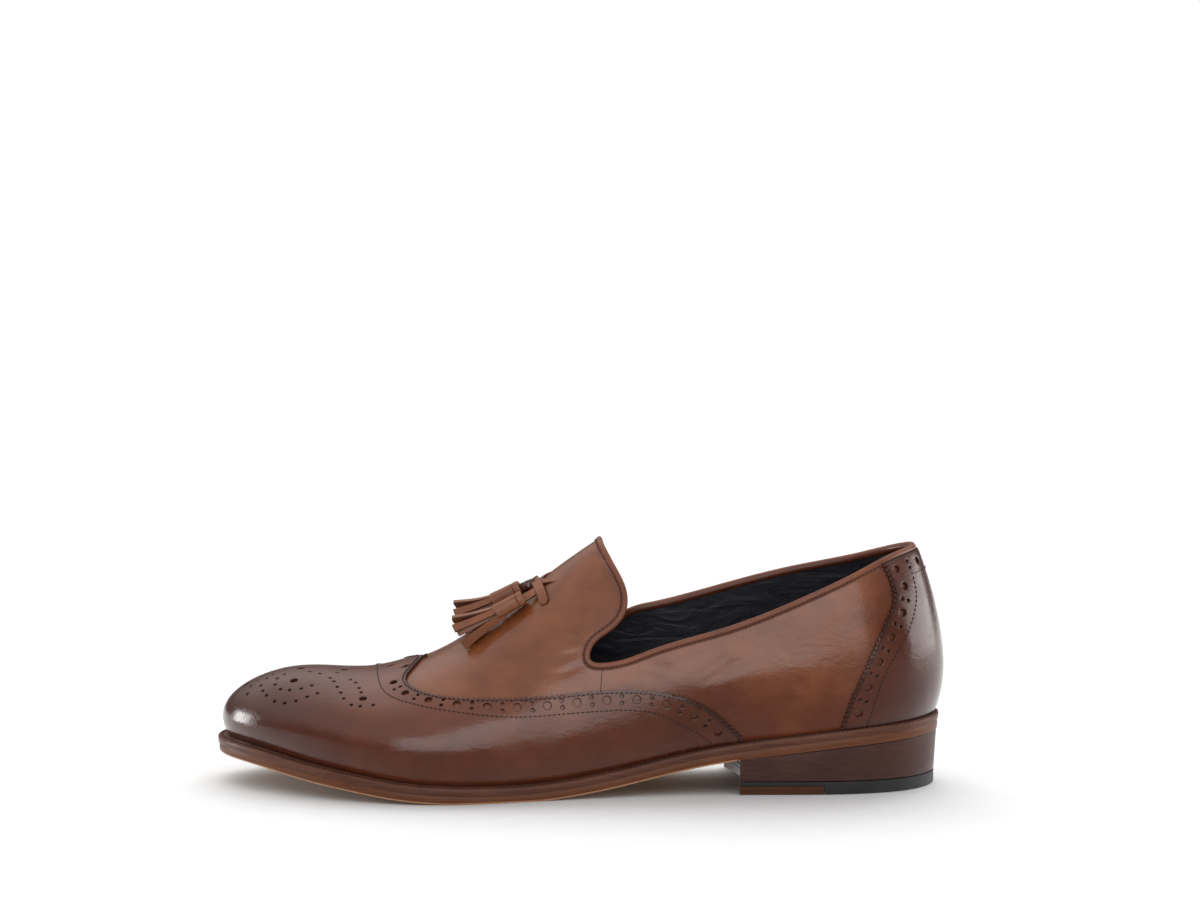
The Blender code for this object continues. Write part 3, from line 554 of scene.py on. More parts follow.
def opening_line(side, shares):
    """Edge of the collar and tongue on the last, from the back seam (0) to the tongue tip (1)."""
    rows = np.array(OPENING_ROWS)[::-1]
    places = rows[:, 0:2] if side == LATERAL else rows[:, 2:4]
    chord = lengths_along(places)
    turn = (1 - np.cos(np.linspace(0, np.pi, FINE_STEPS))) / 2 * chord[-1]
    x, z = spline(chord, places[:, 0])(turn), spline(chord, places[:, 1])(turn)
    middle, half = wall_at(x, z)
    return resample(np.stack([x, middle + side * half, z], axis=1), shares)


def cast(targets):
    """Push points out from the middle of the last onto its surface."""
    x, z = targets[..., 0], targets[..., 2]
    spine_x = np.clip(x, TOE_TIP_X + SPINE_TOE, TOE_TIP_X + LAST_LENGTH - SPINE_HEEL)
    section = last_at(spine_x)
    height = section["bulge"] + section["rise"]
    rear = smooth_step(LEVEL_FROM_X, LEVEL_TO_X, x)
    spine_y = section["middle"] + SPINE_SKEW * section["skew"]
    spine_z = (section["feather"] + SPINE_HEIGHT * height) * (1 - rear) + z * rear
    spine = np.stack([spine_x, spine_y, spine_z], axis=-1)
    ray = targets - spine
    near = np.zeros(x.shape)
    far = np.full(x.shape, CAST_REACH)
    for _ in range(HALVINGS):
        half_way = (near + far) / 2
        inside = is_inside(spine + ray * half_way[..., None])
        near = np.where(inside, half_way, near)
        far = np.where(inside, far, half_way)
    return spine + ray * near[..., None]


def chart_half(side):
    """Points on one side of the upper: a row of even steps from feather to rim for each share."""
    shares = np.linspace(0, 1, COLUMNS + 1)
    foot = feather_line(side, shares)
    rows = np.array(SPOKE_ROWS)
    head = opening_line(side, np.interp(shares, rows[:, 0], rows[:, 1]))
    slope = np.radians(np.interp(shares, rows[:, 0], rows[:, 2 if side == LATERAL else 3]))
    front = smooth_step(FRONT_FROM, 1.0, shares)[:, None]
    span = head - foot
    reach = np.linalg.norm(span, axis=1, keepdims=True) * (SPOKE_REACH + SPOKE_FRONT_REACH * front)
    arrive = np.stack([np.cos(slope), 0 * slope, np.sin(slope)], axis=1)
    up = foot + span / 3 * (1 - front) + np.array([0, 0, SPOKE_RISE]) * front
    down = head - arrive * reach
    down[:, 1] -= SPOKE_INWARD * span[:, 1]
    along = np.linspace(0, 1, SPOKE_STEPS)[None, :, None]
    rest = 1 - along
    spokes = cast(rest ** 3 * foot[:, None] + 3 * rest ** 2 * along * up[:, None]
                  + 3 * rest * along ** 2 * down[:, None] + along ** 3 * head[:, None])
    grid = cast(np.array([resample(spoke, ROWS + 1) for spoke in spokes]))
    grid[:, 0] = foot
    return grid


def relief(points):
    """Creases of the leather as a lift of the upper's surface."""
    lift = np.zeros(points.shape[:-1])
    for row in CREASES:
        start, end, depth, half = np.array(row[0:3]), np.array(row[3:6]), row[6], row[7]
        span = end - start
        share = np.clip(((points - start) @ span) / (span @ span), 0, 1)
        away = np.linalg.norm(points - (start + share[..., None] * span), axis=-1)
        lift += depth * np.sin(np.pi * share) * np.exp(-(away / half) ** 2)
    return lift


def unit(vectors):
    """Vectors brought to length 1."""
    return vectors / np.maximum(np.linalg.norm(vectors, axis=-1, keepdims=True), 1e-12)


def surface_normals(points):
    """Outward unit normals of a closed loop of spokes."""
    around = np.roll(points, -1, axis=0) - np.roll(points, 1, axis=0)
    return unit(np.cross(np.gradient(points, axis=1), around))


def make_chart():
    """Points and normals of the creased upper: columns back, lateral, toe, medial; rows upwards."""
    points = np.concatenate([chart_half(LATERAL), chart_half(MEDIAL)[-2:0:-1]])
    points = points + surface_normals(points) * relief(points)[..., None]
    return points, surface_normals(points)


CHART, NORMALS = make_chart()
LOOP = len(CHART)
LENGTHS = np.linalg.norm(np.diff(CHART, axis=1), axis=-1).sum(axis=1)


def make_tree():
    """Search tree over the points of the chart."""
    tree = kdtree.KDTree(CHART.size // 3)
    for index, point in enumerate(CHART.reshape(-1, 3).tolist()):
        tree.insert(point, index)
    tree.balance()
    return tree


TREE = make_tree()


def place(columns, rows, lift=0.0):
    """Points and normals at chart columns and rows, lifted from the upper's surface."""
    columns, rows = np.broadcast_arrays(np.asarray(columns, float), np.asarray(rows, float))
    before = np.floor(columns).astype(int)
    right = (columns - before)[..., None]
    left_column, right_column = before % LOOP, (before + 1) % LOOP
    under = np.clip(np.floor(rows).astype(int), 0, ROWS - 1)
    up = np.clip(rows - under, 0, 1)[..., None]

    def mixed(grid):
        low = grid[left_column, under] * (1 - right) + grid[right_column, under] * right
        high = grid[left_column, under + 1] * (1 - right) + grid[right_column, under + 1] * right
        return low * (1 - up) + high * up

    normals = unit(mixed(NORMALS))
    return mixed(CHART) + np.asarray(lift, float)[..., None] * normals, normals


def find(points):
    """Chart columns and rows of the places on the upper that are nearest to some points."""
    nearest = np.array([TREE.find(point)[1] for point in points.tolist()])
    columns, rows = (part.astype(float) for part in np.divmod(nearest, ROWS + 1))
    for _ in range(4):
        inner_rows = np.clip(rows, 0.5, ROWS - 0.5)
        across = place(columns + 0.5, rows)[0] - place(columns - 0.5, rows)[0]
        upward = place(columns, inner_rows + 0.5)[0] - place(columns, inner_rows - 0.5)[0]
        away = points - place(columns, rows)[0]
        aa, bb, ab = (across * across).sum(1), (upward * upward).sum(1), (across * upward).sum(1)
        pa, pb = (away * across).sum(1), (away * upward).sum(1)
        det = np.maximum(aa * bb - ab ** 2, 1e-9)
        columns = columns + np.clip((pa * bb - pb * ab) / det, -1.5, 1.5)
        rows = np.clip(rows + np.clip((pb * aa - pa * ab) / det, -1.5, 1.5), 0, ROWS)
    return columns, rows


def length_at(columns):
    """Length of the upper from the feather to the rim at chart columns."""
    return np.interp(columns, np.arange(LOOP), LENGTHS, period=LOOP)


def below_rim(columns, drop):
    """Chart rows at a distance below the rim."""
    return ROWS * (1 - drop / length_at(columns))


def flatten(columns, rows):
    """Chart places as a plane pattern in about millimetres."""
    return np.stack([columns * COLUMN_STEP, rows / ROWS * length_at(columns)], axis=-1)


def unflatten(places):
    """Chart columns and rows of places in the plane pattern."""
    columns = places[..., 0] / COLUMN_STEP
    return columns, places[..., 1] / length_at(columns) * ROWS


def surface_curve(rows):
    """Smooth line through the rows of a table, laid on the upper."""
    rows = np.array(rows)
    chord = lengths_along(rows)
    fine = np.linspace(0, chord[-1], int(chord[-1] / CURVE_STEP) + 1)
    return find(np.stack([spline(chord, rows[:, axis])(fine) for axis in range(3)], axis=1))


def even_line(line, step):
    """A chart line at even steps of its length on the upper."""
    columns, rows = line
    along = lengths_along(place(columns, rows)[0])
    targets = np.linspace(0, along[-1], max(int(round(along[-1] / step)), 2) + 1)
    return np.interp(targets, along, columns), np.interp(targets, along, rows)


def shifted(line, distance):
    """A chart line moved sideways on the upper, to the left of its run for a positive distance."""
    points, normals = place(*line)
    sideways = np.cross(normals, unit(np.gradient(points, axis=0)))
    return find(points + sideways * np.asarray(distance)[..., None])


def pinked(line, outward):
    """Row of round teeth along a chart line; outward is 1 to the left of its run, -1 to the right."""
    line = even_line(line, TOOTH_PITCH / TOOTH_POINTS)
    phase = np.arange(len(line[0])) / TOOTH_POINTS
    return shifted(line, outward * TOOTH_DEPTH * (np.abs(np.sin(np.pi * phase)) - 1))


def joined(*lines):
    """One chart line out of several."""
    return tuple(np.concatenate(parts) for parts in zip(*lines))


def picked(line, keep):
    """The places of a chart line that are kept."""
    return tuple(part[keep] for part in line)


def other_heel_side(line):
    """A chart line on the other side of the back seam."""
    return -line[0], line[1]


def mirrored(line):
    """The same line on the medial side, run the other way: by columns at the toe, by height behind it."""
    points = place(*line)[0]
    by_columns = (2 * TOE_COLUMN - line[0], line[1])
    by_height = find(points * (1, -1, 1))
    share = smooth_step(*TOE_BLEND, points[:, 0])
    return tuple((near + (far - near) * share)[::-1] for near, far in zip(by_columns, by_height))


def toe_places(rows):
    """Points on the toe from stations and girths about the medallion's axis."""
    points = []
    for x, girth in rows:
        for side in (LATERAL, MEDIAL) if girth else (LATERAL,):
            reach = MEDALLION_AXIS - side * girth
            section = last_at(np.array(x))
            depth = np.linspace(0, 1, GIRTH_STEPS) ** 3
            z = section["feather"] + section["bulge"] + section["rise"] * (1 - depth)
            middle, half = wall_at(np.full_like(z, x), z)
            line = np.stack([middle - np.sign(reach) * half, z], axis=1)
            along = lengths_along(line)
            points.append((x, *(np.interp(abs(reach), along, column) for column in line.T)))
    return find(np.array(points))


def strip_places(edge, row, pitch, first):
    """Large holes along the middle of a strip between two chart lines, and pairs of small ones."""
    edge_points, row_points = (place(*even_line(line, CURVE_STEP))[0] for line in (edge, row))
    middle = []
    for point in edge_points:
        away = np.linalg.norm(row_points - point, axis=1)
        middle.append((point + row_points[away.argmin()]) / 2)
    line = even_line(find(np.array(middle)), CURVE_STEP / 2)
    along = lengths_along(place(*line)[0])
    targets = np.arange(first, along[-1], pitch)
    large = tuple(np.interp(targets, along, part) for part in line)
    between = targets[:-1] + pitch / 2
    centre = [np.interp(between + step, along, part) for step in (-RUN_HALF, RUN_HALF) for part in line]
    points = [place(*centre[0:2])[0], place(*centre[2:4])[0]]
    normals = place(*centre[0:2])[1]
    sideways = np.cross(normals, unit(points[1] - points[0]))
    middle = (points[0] + points[1]) / 2
    return large, find(np.concatenate([middle + PAIR_HALF * sideways, middle - PAIR_HALF * sideways]))


def rings_around(centres, radius, count):
    """Rings of chart places round hole centres."""
    points, normals = place(*centres)
    first = unit(np.cross(normals, [0.0, 0.0, 1.0]))
    second = np.cross(normals, first)
    angles = np.linspace(0, 2 * np.pi, count, endpoint=False)[:, None, None]
    rings = points + radius * (np.cos(angles) * first + np.sin(angles) * second)
    columns, rows = find(rings.transpose(1, 0, 2).reshape(-1, 3))
    near = np.repeat(centres[0], count)
    columns = columns + LOOP * np.round((near - columns) / LOOP)
    return flatten(columns, rows).reshape(-1, count, 2)


def inside_loops(points, loops):
    """Even-odd test of plane points against closed loops."""
    inside = np.zeros(len(points), bool)
    x, y = points[:, 0], points[:, 1]
    for loop in loops:
        for (x0, y0), (x1, y1) in zip(loop, np.roll(loop, -1, axis=0)):
            if y0 != y1:
                crosses = (y0 > y) != (y1 > y)
                inside ^= crosses & (x < (x1 - x0) * (y - y0) / (y1 - y0) + x0)
    return inside


def fill_points(outline):
    """Points at even distances on the upper, in rows over an outline's box."""
    low, high = outline.min(axis=0), outline.max(axis=0)
    spacing = SHEET_SPACING
    places = []
    for index, height in enumerate(np.arange(low[1] + spacing / 2, high[1], spacing * ROW_SHARE)):
        run = np.arange(low[0], high[0], SHEET_STEP)
        line = np.stack([run, np.full_like(run, height)], axis=1)
        along = lengths_along(place(*unflatten(line))[0])
        targets = np.arange(spacing * (index % 2) / 2, along[-1], spacing)
        places.append(np.stack([np.interp(targets, along, run), np.full_like(targets, height)], axis=1))
    return np.concatenate(places)


def cut_sheet(outline, holes, guards):
    """Triangles of a plane pattern with holes, fine at its edges and even inside."""
    loops = [outline] + holes
    fixed = np.concatenate(loops)
    edges = []
    start = 0
    for loop in loops:
        ring = np.arange(start, start + len(loop))
        edges += list(zip(ring.tolist(), np.roll(ring, -1).tolist()))
        start += len(loop)
    near = kdtree.KDTree(len(fixed) + sum(len(guard) for guard in guards))
    for index, point in enumerate(place(*unflatten(np.concatenate([fixed, *guards])))[0].tolist()):
        near.insert(point, index)
    near.balance()
    fill = fill_points(outline)
    fill = fill[inside_loops(fill, loops)]
    spots = place(*unflatten(fill))[0].tolist()
    fill = fill[np.array([near.find(spot)[2] > CLEAR_SHARE * SHEET_SPACING for spot in spots])]
    extra = np.concatenate(guards)
    extra = extra[inside_loops(extra, loops)]
    corners = [Vector(point) for point in np.concatenate([fixed, extra, fill]).tolist()]
    result = geometry.delaunay_2d_cdt(corners, edges, [], 0, 1e-7)
    points, triangles = np.array([point[:] for point in result[0]]), np.array(result[2])
    return points, triangles[inside_loops(points[triangles].mean(axis=1), loops)]


def to_frame(points):
    """Millimetres of the shoe's frame to metres of the part's frame."""
    return (np.asarray(points) + FRAME_SHIFT) * MM


def add_mesh(name, points, faces, finishes, body_slot, face_finish=None, sharp=50.0):
    """A piece that rides on the shoe, smooth but for edges sharper than an angle."""
    mesh = bpy.data.meshes.new(name)
    mesh.from_pydata(to_frame(points).tolist(), [], [tuple(face) for face in faces])
    for finish in finishes:
        mesh.materials.append(finish)
    if face_finish is not None:
        mesh.polygons.foreach_set("material_index", np.asarray(face_finish, np.int32))
    mesh.shade_smooth()
    mesh.set_sharp_from_angle(angle=np.radians(sharp))
    piece = bpy.data.objects.new(name, mesh)
    bpy.context.collection.objects.link(piece)
    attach(piece, BODY)
    return piece


def paint(piece, burnish):
    """Store how dark the leather is at each point: its burnish, and any painted shade added to it."""
    layer = piece.data.attributes.new("burnish", "FLOAT", "POINT")
    layer.data.foreach_set("value", np.asarray(burnish, np.float32))


def ring_faces(rings, points_a_ring, closed=True):
    """Quads between rings of points; the rings close on themselves, and the stack if closed."""
    ring = np.arange(rings if closed else rings - 1)[:, None]
    point = np.arange(points_a_ring)[None]
    after, beside = (ring + 1) % rings, (point + 1) % points_a_ring
    quads = np.stack([ring * points_a_ring + point, ring * points_a_ring + beside,
                      after * points_a_ring + beside, after * points_a_ring + point], axis=-1)
    return quads.reshape(-1, 4).tolist()


def capped_loft(rings):
    """Points and faces of a solid through rings of points, closed at both ends."""
    count = len(rings[0])
    faces = ring_faces(len(rings), count, closed=False)
    last = (len(rings) - 1) * count
    faces += [list(range(count))[::-1], list(range(last, last + count))]
    return np.concatenate(rings), faces


def merged(parts):
    """One list of points and faces from several."""
    points, faces = [], []
    start = 0
    for part_points, part_faces in parts:
        points.append(part_points)
        faces += [[index + start for index in face] for face in outward_faces(part_points, part_faces)]
        start += len(part_points)
    return np.concatenate(points), faces


def outward_faces(points, faces):
    """Faces turned so that the solid they close has a positive volume."""
    corners = np.array([[face[0], face[step], face[step + 1]]
                        for face in faces for step in range(1, len(face) - 1)])
    a, b, c = (points[corners[:, column]] for column in range(3))
    volume = (a * np.cross(b, c)).sum()
    return faces if volume > 0 else [face[::-1] for face in faces]


def add_solid(name, points, faces, finishes, body_slot, **settings):
    """A piece whose faces are turned outwards."""
    return add_mesh(name, points, outward_faces(points, faces), finishes, body_slot, **settings)


def burnish_and_shade_at(points, base):
    """Calf burnish darker towards toe and heel; painted shade darker towards the welt and over the wing's
    end.
    """
    x, z = points[:, 0], points[:, 2]
    toe, heel = smooth_step(*TOE_FADE, x), smooth_step(*HEEL_FADE, x)
    # Painted shade: darker low on the walls by the welt, and over the waist near the end of the wing
    low = smooth_step(*LOW_SHADE_FADE, z - LAST["feather"](x))
    waist_shade = np.exp(-((x - WAIST_SHADE_X) / WAIST_SHADE_HALF) ** 2) * smooth_step(*WAIST_SHADE_FADE, z)
    return base + TOE_BURNISH * toe + HEEL_BURNISH * heel + LOW_PAINTED_SHADE * low + WAIST_PAINTED_SHADE * waist_shade


def face_crosses(points, faces):
    """Cross product of the first and the last side of each face, at its first corner."""
    start = points[faces[:, 0]]
    return np.cross(points[faces[:, 1]] - start, points[faces[:, -1]] - start)


def add_leather(name, places, triangles, lift_in, lift_out, finishes, body_slot, base):
    """Sheet of leather of real thickness from a cut pattern, with rounded upper edges."""
    columns, rows = unflatten(places)
    directed = np.concatenate([triangles[:, [0, 1]], triangles[:, [1, 2]], triangles[:, [2, 0]]])
    known = {(low, high) for low, high in directed.tolist()}
    rim = np.array([edge for edge in directed.tolist() if (edge[1], edge[0]) not in known])
    on_rim = np.zeros(len(places), bool)
    on_rim[rim] = True
    outer, normals = place(columns, rows, np.where(on_rim, lift_out - EDGE_ROUND, lift_out))
    inner, _ = place(columns, rows, lift_in)
    if face_crosses(outer, triangles[:1])[0] @ normals[triangles[0, 0]] < 0:
        triangles, rim = triangles[:, ::-1], rim[:, ::-1]
    count = len(places)
    walls = np.stack([rim[:, 1], rim[:, 0], rim[:, 0] + count, rim[:, 1] + count], axis=1)
    points = np.concatenate([outer, inner])
    faces = triangles.tolist() + (triangles[:, ::-1] + count).tolist() + walls.tolist()
    looks = np.repeat([0, 1], [2 * len(triangles), len(walls)]).tolist()
    piece = add_mesh(name, points, faces, finishes, body_slot, face_finish=looks)
    slope = face_crosses(outer, triangles)
    leaning = np.zeros_like(outer)
    for corner in range(3):
        np.add.at(leaning, triangles[:, corner], slope)
    shading = np.where(on_rim[:, None], unit(leaning), normals)
    wall_normals = np.repeat(unit(face_crosses(points, walls)), 4, axis=0)
    corners = np.concatenate([shading[triangles].reshape(-1, 3), -normals[triangles[:, ::-1]].reshape(-1, 3),
                              wall_normals])
    piece.data.normals_split_custom_set(corners.tolist())
    edges = np.concatenate([RIM_BURNISH * on_rim, np.full(count, CUT_BURNISH)])
    paint(piece, burnish_and_shade_at(points, base) + edges)
    return piece


def add_shell(name, columns, row_count, lifts, finish, body_slot, base, closed=False):
    """Wall of even thickness over chart columns, from the feather to a little below the rim."""
    top = below_rim(columns, RIM_DROP)
    rows = np.linspace(0, 1, row_count)[None] * top[:, None]
    spread = np.broadcast_to(np.asarray(columns)[:, None], rows.shape)
    sides = [place(spread, rows, lift)[0] for lift in lifts]
    profile = np.concatenate([sides[0], sides[1][:, ::-1]], axis=1)
    count, ring, _ = profile.shape
    points = profile.reshape(-1, 3)
    faces = ring_faces(count, ring, closed=closed)
    if not closed:
        for start in (0, (count - 1) * ring):
            cap = [[start + step, start + step + 1, start + ring - 2 - step, start + ring - 1 - step]
                   for step in range(row_count - 1)]
            faces += cap if start == 0 else [face[::-1] for face in cap]
    piece = add_solid(name, points, faces, [finish], body_slot)
    paint(piece, burnish_and_shade_at(points, base))
    return piece


def stitch_solids(lines):
    """Points and faces of thread stitches along polylines with normals."""
    stations = np.array(STITCH_STATIONS)
    girth = STITCH_HALF * np.sqrt(1 - STITCH_TAPER * stations ** 2)
    rise = STITCH_RISE * (1 - stations ** 2)
    angles = np.linspace(0, 2 * np.pi, STITCH_SIDES, endpoint=False)[None, :, None]
    stitches = []
    for line, normals in lines:
        along = lengths_along(line)
        targets = np.arange(STITCH_PITCH / 2, along[-1], STITCH_PITCH)
        steps = (0.0, -RUN_HALF, RUN_HALF)
        centre, before, after = (at_lengths(line, along, targets + step) for step in steps)
        normal = unit(at_lengths(normals, along, targets))
        ahead = unit(after - before)
        sideways = np.cross(normal, ahead)
        spine = (centre[:, None] + ahead[:, None] * (stations * STITCH_LENGTH / 2)[None, :, None]
                 + normal[:, None] * rise[None, :, None])
        ring = np.cos(angles) * sideways[:, None] + np.sin(angles) * normal[:, None]
        stitches.append(spine[:, :, None] + girth[None, :, None, None] * ring[:, None])
    stitches = np.concatenate(stitches)
    _, single = capped_loft(stitches[0])
    points_each = len(stations) * STITCH_SIDES
    starts = range(0, len(stitches) * points_each, points_each)
    faces = [[index + start for index in face] for start in starts for face in single]
    return stitches.reshape(-1, 3), faces


def rim_frames():
    """Even points along the rim of the opening, with their outward and upward directions."""
    columns = np.arange(LOOP + 1, dtype=float)
    along = lengths_along(place(columns, ROWS)[0])
    targets = np.linspace(0, along[-1], BINDING_POINTS, endpoint=False)
    columns = np.interp(targets, along, columns)
    points, outward = place(columns, ROWS)
    ahead = unit(np.roll(points, -1, axis=0) - np.roll(points, 1, axis=0))
    outward = unit(outward - (outward * ahead).sum(axis=1, keepdims=True) * ahead)
    upward = np.cross(ahead, outward)
    below = place(columns, ROWS - 2)[0]
    upward *= np.sign(((points - below) * upward).sum(axis=1, keepdims=True))
    return points, outward, upward


def feather_outline(count):
    """Closed feather line round the shoe: lateral from back to toe, then medial back again."""
    shares = np.linspace(0, 1, count + 1)
    return np.concatenate([feather_line(LATERAL, shares), feather_line(MEDIAL, shares)[-2:0:-1]])


def moved_out(line, offset):
    """A closed plan outline moved outwards; heights stay."""
    heading = np.roll(line, -1, axis=0) - np.roll(line, 1, axis=0)
    outward = unit(np.stack([heading[:, 1], -heading[:, 0], 0 * heading[:, 0]], axis=1))
    outward *= np.sign(outward[0, 0])
    return line + outward * np.broadcast_to(offset, len(line))[:, None]


def reach_at(line):
    """Reach of the welt beyond the feather at each point of an outline."""
    rows = np.array(WELT_ROWS)
    along = (line[:, 0] - TOE_TIP_X) / LAST_LENGTH
    lateral, medial = (spline(rows[:, 0], rows[:, column])(along) for column in (1, 2))
    return np.where(np.arange(len(line)) <= line[:, 0].argmin(), lateral, medial)


def at_height(outline, heights):
    """An outline set to other heights."""
    placed = outline.copy()
    placed[:, 2] = heights
    return placed


SOLE_LINE = feather_outline(SOLE_SHARES)
SOLE_REACH = reach_at(SOLE_LINE)


def frame_shift():
    """Shift from the shoe's own frame to the part's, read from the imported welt."""
    low, high = (np.array(corner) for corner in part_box("welt"))
    edge = moved_out(SOLE_LINE, SOLE_REACH)
    shift = (low + high) / 2 / MM - (edge.min(axis=0) + edge.max(axis=0)) / 2
    return np.array([shift[0], shift[1], 0.0])


FRAME_SHIFT = frame_shift()


def across_faces(start, count, flip):
    """Strips across a closed outline, from its lateral to its medial points."""
    half = count // 2
    faces = [[start, start + 1, start + count - 1]]
    for step in range(1, half - 1):
        faces.append([start + step, start + step + 1, start + count - step - 1, start + count - step])
    faces.append([start + half - 1, start + half, start + half + 1])
    return [face[::-1] for face in faces] if flip else faces


def section_rings(line, section):
    """Rings of a piece: an outline moved out and set to a height for each row of a section."""
    return [at_height(moved_out(line, offset), height) for offset, height in section]


def add_welt(finish):
    """Welt with a wheeled upper edge and a groove; returns the stitch row in it."""
    line = resample(closed_loop(SOLE_LINE), OUTLINE_POINTS + 1)[:-1]
    reach = reach_at(line)
    top = line[:, 2] - GAP
    along = lengths_along(closed_loop(line))
    turns = np.round(along[-1] / NOTCH_PITCH)
    notch = NOTCH_DEPTH * (0.5 - 0.5 * np.cos(2 * np.pi * turns * along[:-1] / along[-1]))
    inner = -WALL - SEAT_CLEAR
    rings = section_rings(line, (
        (inner, top), (reach - 2.1, top), (reach - 1.75, top - 0.3), (reach - 1.35, top - 0.3),
        (reach - 1.0, top - 0.05 - 0.5 * notch), (reach - 0.4, top - 0.12 - notch),
        (reach, top - 0.6 - 0.4 * notch), (reach + 0.1, top - WELT / 2), (reach, top - WELT + 0.2),
        (reach - 0.15, top - WELT), (inner, top - WELT),
    ))
    points = np.concatenate(rings)
    welt = add_solid("welt_strip", points, ring_faces(len(rings), len(line)), [finish], "welt_leather")
    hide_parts("welt")
    inwards, below = WELT_STITCH
    row = at_height(moved_out(line, reach - inwards), top - below)
    return row, np.tile([0.0, 0.0, 1.0], (len(row), 1))


def end_faces(ring_count, count):
    """Faces across the first and the last one of some rings of a closed outline."""
    return across_faces(0, count, True) + across_faces((ring_count - 1) * count, count, False)


def add_sole(finishes):
    """Outsole with a trimmed bevel below its edge; finishes of edge, trim and tread."""
    feather = SOLE_LINE[:, 2]
    top = feather - GAP - WELT - SOLE_SEAM
    tread = np.maximum(feather - SOLE_BAND, 0)
    side = SOLE_REACH - SOLE_STEP
    over_heel = smooth_step(*BEVEL_FADE, SOLE_LINE[:, 0] - BREAST_LATERAL_X)
    bevel = SOLE_BEVEL + (SOLE_SEAM - SOLE_BEVEL) * over_heel
    rings = section_rings(SOLE_LINE, (
        (side - bevel, tread), (side - 0.3 * bevel, tread + 0.55 * bevel), (side, tread + bevel),
        (side + 0.15, (tread + top) / 2), (side, top - 0.2), (side - 0.12, top),
    ))
    count = len(SOLE_LINE)
    edges = ring_faces(len(rings), count, closed=False)
    ends = end_faces(len(rings), count)
    trimmed = (SOLE_LINE[:, 0] < BREAST_LATERAL_X).astype(int).tolist()
    looks = trimmed * 2 + [0] * (len(edges) - 2 * count)
    looks += [2] * (len(ends) // 2) + [0] * (len(ends) // 2)
    sole = add_solid("sole_edge", np.concatenate(rings), edges + ends, finishes, "sole_leather",
                     face_finish=looks, sharp=40.0)
    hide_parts("outsole")


def add_sock(finish):
    """Sock on top of the sole inside the shoe."""
    feather = SOLE_LINE[:, 2]
    edge = -WALL - SEAT_CLEAR - GAP
    rings = section_rings(SOLE_LINE, (
        (edge, feather - WELT - SOLE_SEAM), (edge, feather + INSOLE - SOCK_ROUND),
        (edge - SOCK_ROUND, feather + INSOLE),
    ))
    count = len(SOLE_LINE)
    faces = ring_faces(len(rings), count, closed=False) + end_faces(len(rings), count)
    insole = add_solid("sock_lining", np.concatenate(rings), faces, [finish], "lining_leather")
    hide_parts("insole")


def heel_outline(inset):
    """Outline of the heel from its lateral front corner round the back, then along the breast."""
    outline = moved_out(SOLE_LINE, SOLE_REACH - SOLE_STEP - inset)
    lateral = outline[:SOLE_SHARES // 2]
    medial = outline[:SOLE_SHARES:-1][:SOLE_SHARES // 2]
    sides = []
    for side, corner in ((lateral, BREAST_LATERAL_X), (medial, BREAST_MEDIAL_X)):
        kept = side[side[:, 0] > corner]
        after = side[len(kept)]
        share = (kept[-1, 0] - corner) / (kept[-1, 0] - after[0])
        sides.append(np.concatenate([kept, [kept[-1] + (after - kept[-1]) * share]]))
    front, rear = sides[0][-1], sides[1][-1]
    steps = np.linspace(0, 1, BREAST_POINTS)[1:-1, None]
    breast = rear + (front - rear) * steps
    breast[:, 0] += BREAST_HOLLOW * 4 * (steps * (1 - steps))[:, 0]
    return np.concatenate([sides[0][::-1], sides[1], breast])


def clipped(outline, limit, rear):
    """The part of a closed outline behind or in front of a station."""
    kept = []
    for here, after in zip(outline, np.roll(outline, -1, axis=0)):
        inside = (here[0] >= limit) == rear
        if inside:
            kept.append(here)
        if inside != ((after[0] >= limit) == rear):
            share = (limit - here[0]) / (after[0] - here[0])
            kept.append(here + (after - here) * share)
    return np.array(kept)


def drawn_in(outline, distance):
    """An outline drawn in towards its middle by about a distance."""
    middle = (outline.min(axis=0) + outline.max(axis=0)) / 2
    away = outline - middle
    return middle + away * (1 - distance / np.maximum(np.linalg.norm(away[:, :2], axis=1), 1))[:, None]


def slab(outline, low, high, bevel):
    """Rings of an upright slab with a bevelled lower edge."""
    return [at_height(drawn_in(outline, bevel), low), at_height(outline, low + bevel),
            at_height(outline, high)]


def add_heel(finish):
    """Stacked heel between the lift and the sole."""
    top, base = heel_outline(GAP), heel_outline(GAP + HEEL_TAPER)
    seat = LAST["feather"](top[:, 0]) - SOLE_BAND - SOLE_SEAM
    floor = LIFT + GAP
    rings = [at_height(drawn_in(base, HEEL_BEVEL), floor), at_height(base, floor + HEEL_BEVEL)]
    for share in HEEL_SHARES:
        rings.append(at_height(base + (top - base) * share, floor + (seat - floor) * share))
    rings.append(at_height(drawn_in(top, SOLE_SEAM), seat))
    stack = add_solid("heel_stack", *capped_loft(rings), [finish], "heel_leather")
    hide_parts("heel_block")


def add_lift(finish):
    """Rubber lift: full height behind, thin over its insert in front."""
    base = heel_outline(GAP + HEEL_TAPER)
    rear = slab(clipped(base, INSERT_END_X, True), 0.0, LIFT, LIFT_BEVEL)
    front = slab(clipped(base, INSERT_END_X, False), INSERT + INSERT_CLEAR, LIFT, INSERT_CLEAR)
    lift = merged([capped_loft(rear), capped_loft(front)])
    lift = add_solid("top_lift", *lift, [finish], "lift_rubber")
    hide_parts("heel_lift")


def add_insert(finish):
    """Leather insert of the lift, at the breast."""
    front = clipped(heel_outline(GAP + HEEL_TAPER), INSERT_END_X - GAP / 2, False)
    rings = slab(front, 0.0, INSERT, LIFT_BEVEL)
    insert = add_solid("lift_insert", *capped_loft(rings), [finish], "heel_leather")
    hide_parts("heel_lift_insert")


def vamp_height(x, y):
    """Height of the top of the vamp above a place in plan."""
    section = last_at(np.array(x, float))
    low = section["feather"] + section["bulge"]
    high = low + section["rise"]
    for _ in range(HALVINGS):
        half_way = (low + high) / 2
        inside = is_inside(np.array([x, y, half_way]))
        low, high = (half_way, high) if inside else (low, half_way)
    return float(low)


